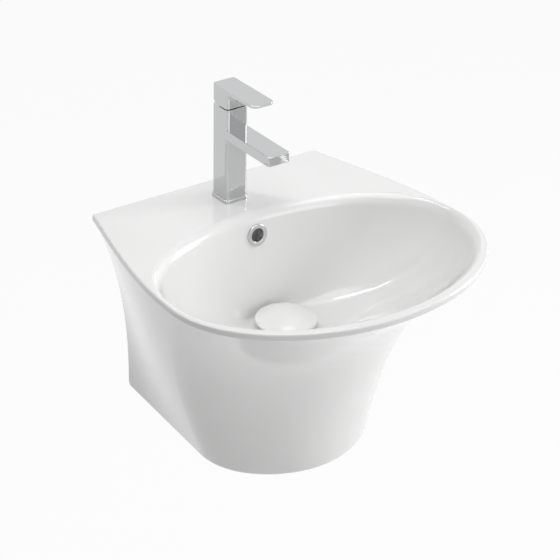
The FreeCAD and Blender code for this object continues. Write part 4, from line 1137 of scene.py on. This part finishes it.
def surface_group():
    """Fine variation of a surface: a tone, a roughness and a height, at a stated scale."""
    if "fine_surface" in bpy.data.node_groups:
        return bpy.data.node_groups["fine_surface"]
    group = bpy.data.node_groups.new("fine_surface", "ShaderNodeTree")
    sockets = group.interface
    for name, default in (
        ("Scale", 200.0),
        ("Tone low", 0.9),
        ("Tone high", 1.0),
        ("Rough low", 0.1),
        ("Rough high", 0.2),
        ("Stretch", 1.0),
    ):
        socket = sockets.new_socket(name, in_out="INPUT", socket_type="NodeSocketFloat")
        socket.default_value = default
    for name in ("Tone", "Roughness", "Height"):
        sockets.new_socket(name, in_out="OUTPUT", socket_type="NodeSocketFloat")
    nodes, links = group.nodes, group.links
    given = nodes.new("NodeGroupInput")
    result = nodes.new("NodeGroupOutput")
    place = nodes.new("ShaderNodeTexCoord")
    stretch = nodes.new("ShaderNodeCombineXYZ")
    stretch.inputs["X"].default_value = 1.0
    stretch.inputs["Y"].default_value = 1.0
    links.new(given.outputs["Stretch"], stretch.inputs["Z"])
    drawn = nodes.new("ShaderNodeVectorMath")
    drawn.operation = "MULTIPLY"
    links.new(place.outputs["Object"], drawn.inputs[0])
    links.new(stretch.outputs["Vector"], drawn.inputs[1])
    fine = nodes.new("ShaderNodeTexNoise")
    fine.inputs["Detail"].default_value = 4.0
    links.new(drawn.outputs["Vector"], fine.inputs["Vector"])
    links.new(given.outputs["Scale"], fine.inputs["Scale"])
    broad = nodes.new("ShaderNodeTexNoise")
    broad.inputs["Scale"].default_value = 14.0
    broad.inputs["Detail"].default_value = 3.0
    links.new(place.outputs["Object"], broad.inputs["Vector"])
    for noise, low, high, output in (
        (broad, "Tone low", "Tone high", "Tone"),
        (fine, "Rough low", "Rough high", "Roughness"),
    ):
        spread = nodes.new("ShaderNodeMapRange")
        spread.inputs["From Min"].default_value = 0.3
        spread.inputs["From Max"].default_value = 0.7
        links.new(noise.outputs["Fac"], spread.inputs["Value"])
        links.new(given.outputs[low], spread.inputs["To Min"])
        links.new(given.outputs[high], spread.inputs["To Max"])
        links.new(spread.outputs["Result"], result.inputs[output])
    links.new(fine.outputs["Fac"], result.inputs["Height"])
    return group


def varied(material_parts, colour_value, scale, tone, rough, stretch, bump_strength, bump_distance):
    """Put the fine surface group into a material and feed colour, roughness and bump from it."""
    nodes, links, shader, bump = material_parts[1:]
    group = nodes.new("ShaderNodeGroup")
    group.node_tree = surface_group()
    group.inputs["Scale"].default_value = scale
    group.inputs["Tone low"].default_value, group.inputs["Tone high"].default_value = tone
    group.inputs["Rough low"].default_value, group.inputs["Rough high"].default_value = rough
    group.inputs["Stretch"].default_value = stretch
    shade = nodes.new("ShaderNodeMix")
    shade.data_type = "RGBA"
    shade.blend_type = "MULTIPLY"
    shade.inputs["Factor"].default_value = 1.0
    shade.inputs["A"].default_value = tuple(colour_value)
    grey = nodes.new("ShaderNodeCombineColor")
    for channel in ("Red", "Green", "Blue"):
        links.new(group.outputs["Tone"], grey.inputs[channel])
    links.new(grey.outputs["Color"], shade.inputs["B"])
    links.new(shade.outputs["Result"], shader.inputs["Base Color"])
    links.new(group.outputs["Roughness"], shader.inputs["Roughness"])
    links.new(group.outputs["Height"], bump.inputs["Height"])
    bump.inputs["Strength"].default_value = bump_strength
    bump.inputs["Distance"].default_value = bump_distance
    return shade


def kept(name, make):
    """A material that is made once."""
    return bpy.data.materials[name] if name in bpy.data.materials else make(name)


def glaze():
    return kept("white_glaze_finish", make_glaze)


def make_glaze(name):
    """A thick clear glaze on white ceramic."""
    parts = new_material(name)
    varied(parts, shape_of("finishes").glaze, 90.0, (0.985, 1.0), (0.10, 0.15), 1.0, 0.05, 0.0004)
    shader = parts[SHADER]
    shader.inputs["Coat Weight"].default_value = 0.6
    shader.inputs["Coat Roughness"].default_value = 0.04
    shader.inputs["Specular IOR Level"].default_value = 0.5
    shader.inputs["IOR"].default_value = 1.52
    return parts[MATERIAL]


def chrome():
    return kept("tap_chrome_finish", make_chrome)


def make_chrome(name):
    """Polished chrome plate."""
    parts = new_material(name)
    varied(parts, shape_of("finishes").chrome, 60.0, (0.97, 1.0), (0.035, 0.06), 1.0, 0.01, 0.0002)
    parts[SHADER].inputs["Metallic"].default_value = 1.0
    return parts[MATERIAL]


def metal(name, tint, rough, scale, stretch, bump):
    """A bare or plated metal, with fine marks."""
    parts = new_material(name)
    varied(parts, tint, scale, (0.82, 1.0), rough, stretch, bump, FINE_BUMP)
    parts[SHADER].inputs["Metallic"].default_value = 1.0
    return parts[MATERIAL]


def turned_brass():
    tint = shape_of("finishes").brass
    return kept("turned_brass_finish", lambda name: metal(name, tint, (0.22, 0.36), 700.0, 4.0, 0.10))


def zinc_steel():
    tint = shape_of("finishes").zinc
    return kept("zinc_steel_finish", lambda name: metal(name, tint, (0.28, 0.45), 500.0, 1.0, 0.12))


def spring_steel():
    tint = shape_of("finishes").wire
    return kept("spring_steel_finish", lambda name: metal(name, tint, (0.2, 0.3), 900.0, 3.0, 0.06))


def moulded(name, tint, rough, scale, bump):
    """A moulded plastic or rubber."""
    parts = new_material(name)
    varied(parts, tint, scale, (0.93, 1.0), rough, 1.0, bump, FINE_BUMP)
    return parts[MATERIAL]


def white_plastic():
    tint = shape_of("finishes").white_plastic
    return kept("white_plastic_finish", lambda name: moulded(name, tint, (0.38, 0.5), 900.0, 0.08))


def grey_plastic():
    tint = shape_of("finishes").grey_plastic
    return kept("grey_plastic_finish", lambda name: moulded(name, tint, (0.4, 0.55), 900.0, 0.10))


def black_rubber():
    tint = shape_of("finishes").rubber
    return kept("black_rubber_finish", lambda name: moulded(name, tint, (0.55, 0.72), 600.0, 0.15))


def index_plastic():
    return kept("index_plastic_finish", make_index)


def make_index(name):
    """A silver grey plug with a red dot on its left and a blue dot on its right."""
    finishes = shape_of("finishes")
    parts = new_material(name)
    shade = varied(parts, finishes.plug, 800.0, (0.95, 1.0), (0.15, 0.22), 1.0, 0.02, 0.0001)
    nodes, links = parts[1:SHADER]
    place = nodes.new("ShaderNodeTexCoord")
    colour_now = None
    deck = shape_of("basin_shape").deck_height + shape_of("tap_shape").grub_height
    for side, tint in ((-1.0, finishes.hot), (1.0, finishes.cold)):
        apart = nodes.new("ShaderNodeVectorMath")
        apart.operation = "MULTIPLY_ADD"
        apart.inputs[1].default_value = (1.0, 0.0, 1.0)
        apart.inputs[2].default_value = (side * -DOT_PLACE, 0.0, -deck)
        links.new(place.outputs["Object"], apart.inputs[0])
        far = nodes.new("ShaderNodeVectorMath")
        far.operation = "LENGTH"
        links.new(apart.outputs["Vector"], far.inputs[0])
        dot = nodes.new("ShaderNodeMath")
        dot.operation = "LESS_THAN"
        dot.inputs[1].default_value = DOT_RADIUS
        links.new(far.outputs["Value"], dot.inputs[0])
        mix = nodes.new("ShaderNodeMix")
        mix.data_type = "RGBA"
        mix.inputs["A"].default_value = tuple(finishes.plug)
        mix.inputs["B"].default_value = tuple(tint)
        links.new(dot.outputs["Value"], mix.inputs["Factor"])
        if colour_now:
            links.new(colour_now, mix.inputs["A"])
        colour_now = mix.outputs["Result"]
    links.new(colour_now, shade.inputs["A"])
    parts[SHADER].inputs["Coat Weight"].default_value = 0.5
    return parts[MATERIAL]


SLOT_FINISHES = {
    "white_glaze": glaze,
    "tap_chrome": chrome,
    "raw_brass": turned_brass,
    "zinc_steel": zinc_steel,
    "spring_steel": spring_steel,
    "white_plastic": white_plastic,
    "grey_plastic": grey_plastic,
    "black_rubber": black_rubber,
    "index_plastic": index_plastic,
}


class BASIN_OT_finishes(bpy.types.Operator):
    """Give every CAD node that stays in view the finish of its slot"""

    bl_idname = "basin.finishes"
    bl_label = "Finishes"

    def execute(self, context):
        for row in frame["record"]["subparts"]:
            node = frame["nodes"][row["node"]]
            finish = SLOT_FINISHES[row["material_slot"]]()
            node.data.materials.clear()
            node.data.materials.append(finish)
            node.data.shade_smooth()
            node.data.set_sharp_from_angle(angle=math.radians(SHARP_ANGLE))
        return {"FINISHED"}


# ---- stage ----

SENSOR = 36.0
SIGHT = 40.0
REACH = 14.0
# Each light's name, its size, its place and its target.
LIGHTS = (
    ("overhead_light", (2.0, 2.0), (0.0, -0.2, 2.3), (0.0, -0.2, 0.0)),
    ("front_light", (1.4, 1.4), (0.6, -2.4, 0.7), (0.0, -0.2, 0.0)),
    ("side_light", (0.9, 1.7), (2.3, -1.0, 0.55), (0.0, -0.2, -0.05)),
    ("strip_light", (0.10, 1.1), (-0.5, 0.65, 1.9), (0.1, -0.2, 0.0)),
)


def area_light(name, energy, size, place, target):
    """A rectangular light at a place, turned to a target."""
    data = bpy.data.lights.new(name, "AREA")
    data.shape = "RECTANGLE"
    data.size, data.size_y = size
    data.energy = energy
    lamp = bpy.data.objects.new(name, data)
    bpy.context.scene.collection.objects.link(lamp)
    lamp.location = place
    lamp.rotation_mode = "QUATERNION"
    lamp.rotation_quaternion = (Vector(target) - Vector(place)).to_track_quat("-Z", "Y")
    return lamp


def camera_rays(nodes, links):
    """A mask that is 1 where the background is seen directly, in a mirror or through glass."""
    path = nodes.new("ShaderNodeLightPath")
    seen = path.outputs["Is Camera Ray"]
    for kind in ("Is Glossy Ray", "Is Transmission Ray"):
        either = nodes.new("ShaderNodeMath")
        either.operation = "ADD"
        either.use_clamp = True
        links.new(seen, either.inputs[0])
        links.new(path.outputs[kind], either.inputs[1])
        seen = either.outputs["Value"]
    return seen


def floor_material():
    """A pale floor that keeps shadows and is seen as nearly white."""
    material = bpy.data.materials.new("studio_floor")
    material.use_nodes = True
    nodes, links = material.node_tree.nodes, material.node_tree.links
    shader = nodes["Principled BSDF"]
    shader.inputs["Base Color"].default_value = (0.82, 0.82, 0.82, 1.0)
    shader.inputs["Roughness"].default_value = 0.9
    shader.inputs["Specular IOR Level"].default_value = 0.1
    glow = nodes.new("ShaderNodeEmission")
    glow.inputs["Strength"].default_value = 1.0
    mix = nodes.new("ShaderNodeMixShader")
    weight = nodes.new("ShaderNodeMath")
    weight.operation = "MULTIPLY"
    weight.inputs[1].default_value = shape_of("stage_settings").white
    links.new(camera_rays(nodes, links), weight.inputs[0])
    links.new(weight.outputs["Value"], mix.inputs["Fac"])
    links.new(shader.outputs["BSDF"], mix.inputs[1])
    links.new(glow.outputs["Emission"], mix.inputs[2])
    links.new(mix.outputs["Shader"], nodes["Material Output"].inputs["Surface"])
    return material


class BASIN_OT_stage(bpy.types.Operator):
    """Set up the camera, the lights, the floor and the world"""

    bl_idname = "basin.stage"
    bl_label = "Stage"

    def execute(self, context):
        g = shape_of("stage_settings")
        scene = context.scene
        yaw, pitch, roll = (math.radians(v) for v in (g.yaw, g.pitch, g.roll))
        forward = Vector(
            (math.sin(yaw) * math.cos(pitch), math.cos(yaw) * math.cos(pitch), -math.sin(pitch))
        )
        right = forward.cross(UP).normalized()
        upward = right.cross(forward)
        tilted = right * math.cos(roll) + upward * math.sin(roll)
        head = upward * math.cos(roll) - right * math.sin(roll)
        data = bpy.data.cameras.new("camera")
        data.lens = g.lens
        data.sensor_width = SENSOR
        data.clip_end = SIGHT
        camera = bpy.data.objects.new("camera", data)
        scene.collection.objects.link(camera)
        turn = Matrix((tilted, head, -forward)).transposed()
        camera.matrix_world = Matrix.Translation(Vector(g.aim) - forward * g.distance) @ turn.to_4x4()
        scene.camera = camera

        corners = [(-REACH, -REACH), (REACH, -REACH), (REACH, REACH), (-REACH, REACH)]
        ground = mesh_from("studio_floor", [(x, y, g.floor) for x, y in corners], [(0, 1, 2, 3)])
        ground.data.materials.append(floor_material())

        strengths = (g.overhead, g.front, g.side, g.strip)
        for strength, (name, size, place, target) in zip(strengths, LIGHTS):
            area_light(name, strength, size, place, target)

        world = bpy.data.worlds.new("studio_world")
        world.use_nodes = True
        scene.world = world
        nodes, links = world.node_tree.nodes, world.node_tree.links
        back = nodes["Background"]
        back.inputs["Color"].default_value = (1.0, 1.0, 1.0, 1.0)
        place = nodes.new("ShaderNodeTexCoord")
        apart = nodes.new("ShaderNodeSeparateXYZ")
        links.new(place.outputs["Generated"], apart.inputs["Vector"])
        light = nodes.new("ShaderNodeMapRange")
        light.interpolation_type = "SMOOTHSTEP"
        light.inputs["From Min"].default_value = 0.0
        light.inputs["From Max"].default_value = 0.75
        light.inputs["To Min"].default_value = g.horizon
        light.inputs["To Max"].default_value = g.zenith
        links.new(apart.outputs["Z"], light.inputs["Value"])
        strength = nodes.new("ShaderNodeMapRange")
        strength.inputs["To Max"].default_value = 1.0
        links.new(light.outputs["Result"], strength.inputs["To Min"])
        links.new(camera_rays(nodes, links), strength.inputs["Value"])
        links.new(strength.outputs["Result"], back.inputs["Strength"])
        scene.view_settings.view_transform = "Standard"
        return {"FINISHED"}


# ---- panel and registration ----

OPERATORS = (
    BASIN_OT_ceramic,
    BASIN_OT_overflow_ring,
    BASIN_OT_wall_fixings,
    BASIN_OT_waste,
    BASIN_OT_tap_body,
    BASIN_OT_tap_lever,
    BASIN_OT_tap_fixing,
    BASIN_OT_finishes,
    BASIN_OT_stage,
)

SETTINGS = {
    "basin_shape": BasinShape,
    "bowl_shape": BowlShape,
    "tap_shape": TapShape,
    "waste_shape": WasteShape,
    "fixing_shape": FixingShape,
    "finishes": Finishes,
    "stage_settings": StageSettings,
}


class BASIN_PT_panel(bpy.types.Panel):
    """Lists the basin's pieces and their settings"""

    bl_idname = "BASIN_PT_panel"
    bl_label = "Wall hung basin"
    bl_space_type = "VIEW_3D"
    bl_region_type = "UI"
    bl_category = "Basin"

    def draw(self, context):
        for operator in OPERATORS:
            self.layout.operator(operator.bl_idname)
        for name, group in SETTINGS.items():
            column = self.layout.box().column()
            for key in group.__annotations__:
                column.prop(getattr(context.scene, name), key)


def register():
    for group in SETTINGS.values():
        bpy.utils.register_class(group)
    for name, group in SETTINGS.items():
        setattr(bpy.types.Scene, name, PointerProperty(type=group))
    for operator in OPERATORS:
        bpy.utils.register_class(operator)
    bpy.utils.register_class(BASIN_PT_panel)


def unregister():
    bpy.utils.unregister_class(BASIN_PT_panel)
    for operator in reversed(OPERATORS):
        bpy.utils.unregister_class(operator)
    for name in SETTINGS:
        delattr(bpy.types.Scene, name)
    for group in reversed(list(SETTINGS.values())):
        bpy.utils.unregister_class(group)


def main():
    """Register the classes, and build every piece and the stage."""
    register()
    bpy.ops.basin.ceramic()
    bpy.ops.basin.overflow_ring()
    bpy.ops.basin.wall_fixings()
    bpy.ops.basin.waste()
    bpy.ops.basin.tap_body()
    bpy.ops.basin.tap_lever()
    bpy.ops.basin.tap_fixing()
    bpy.ops.basin.finishes()
    bpy.ops.basin.stage()


if __name__ == "__main__":
    main()
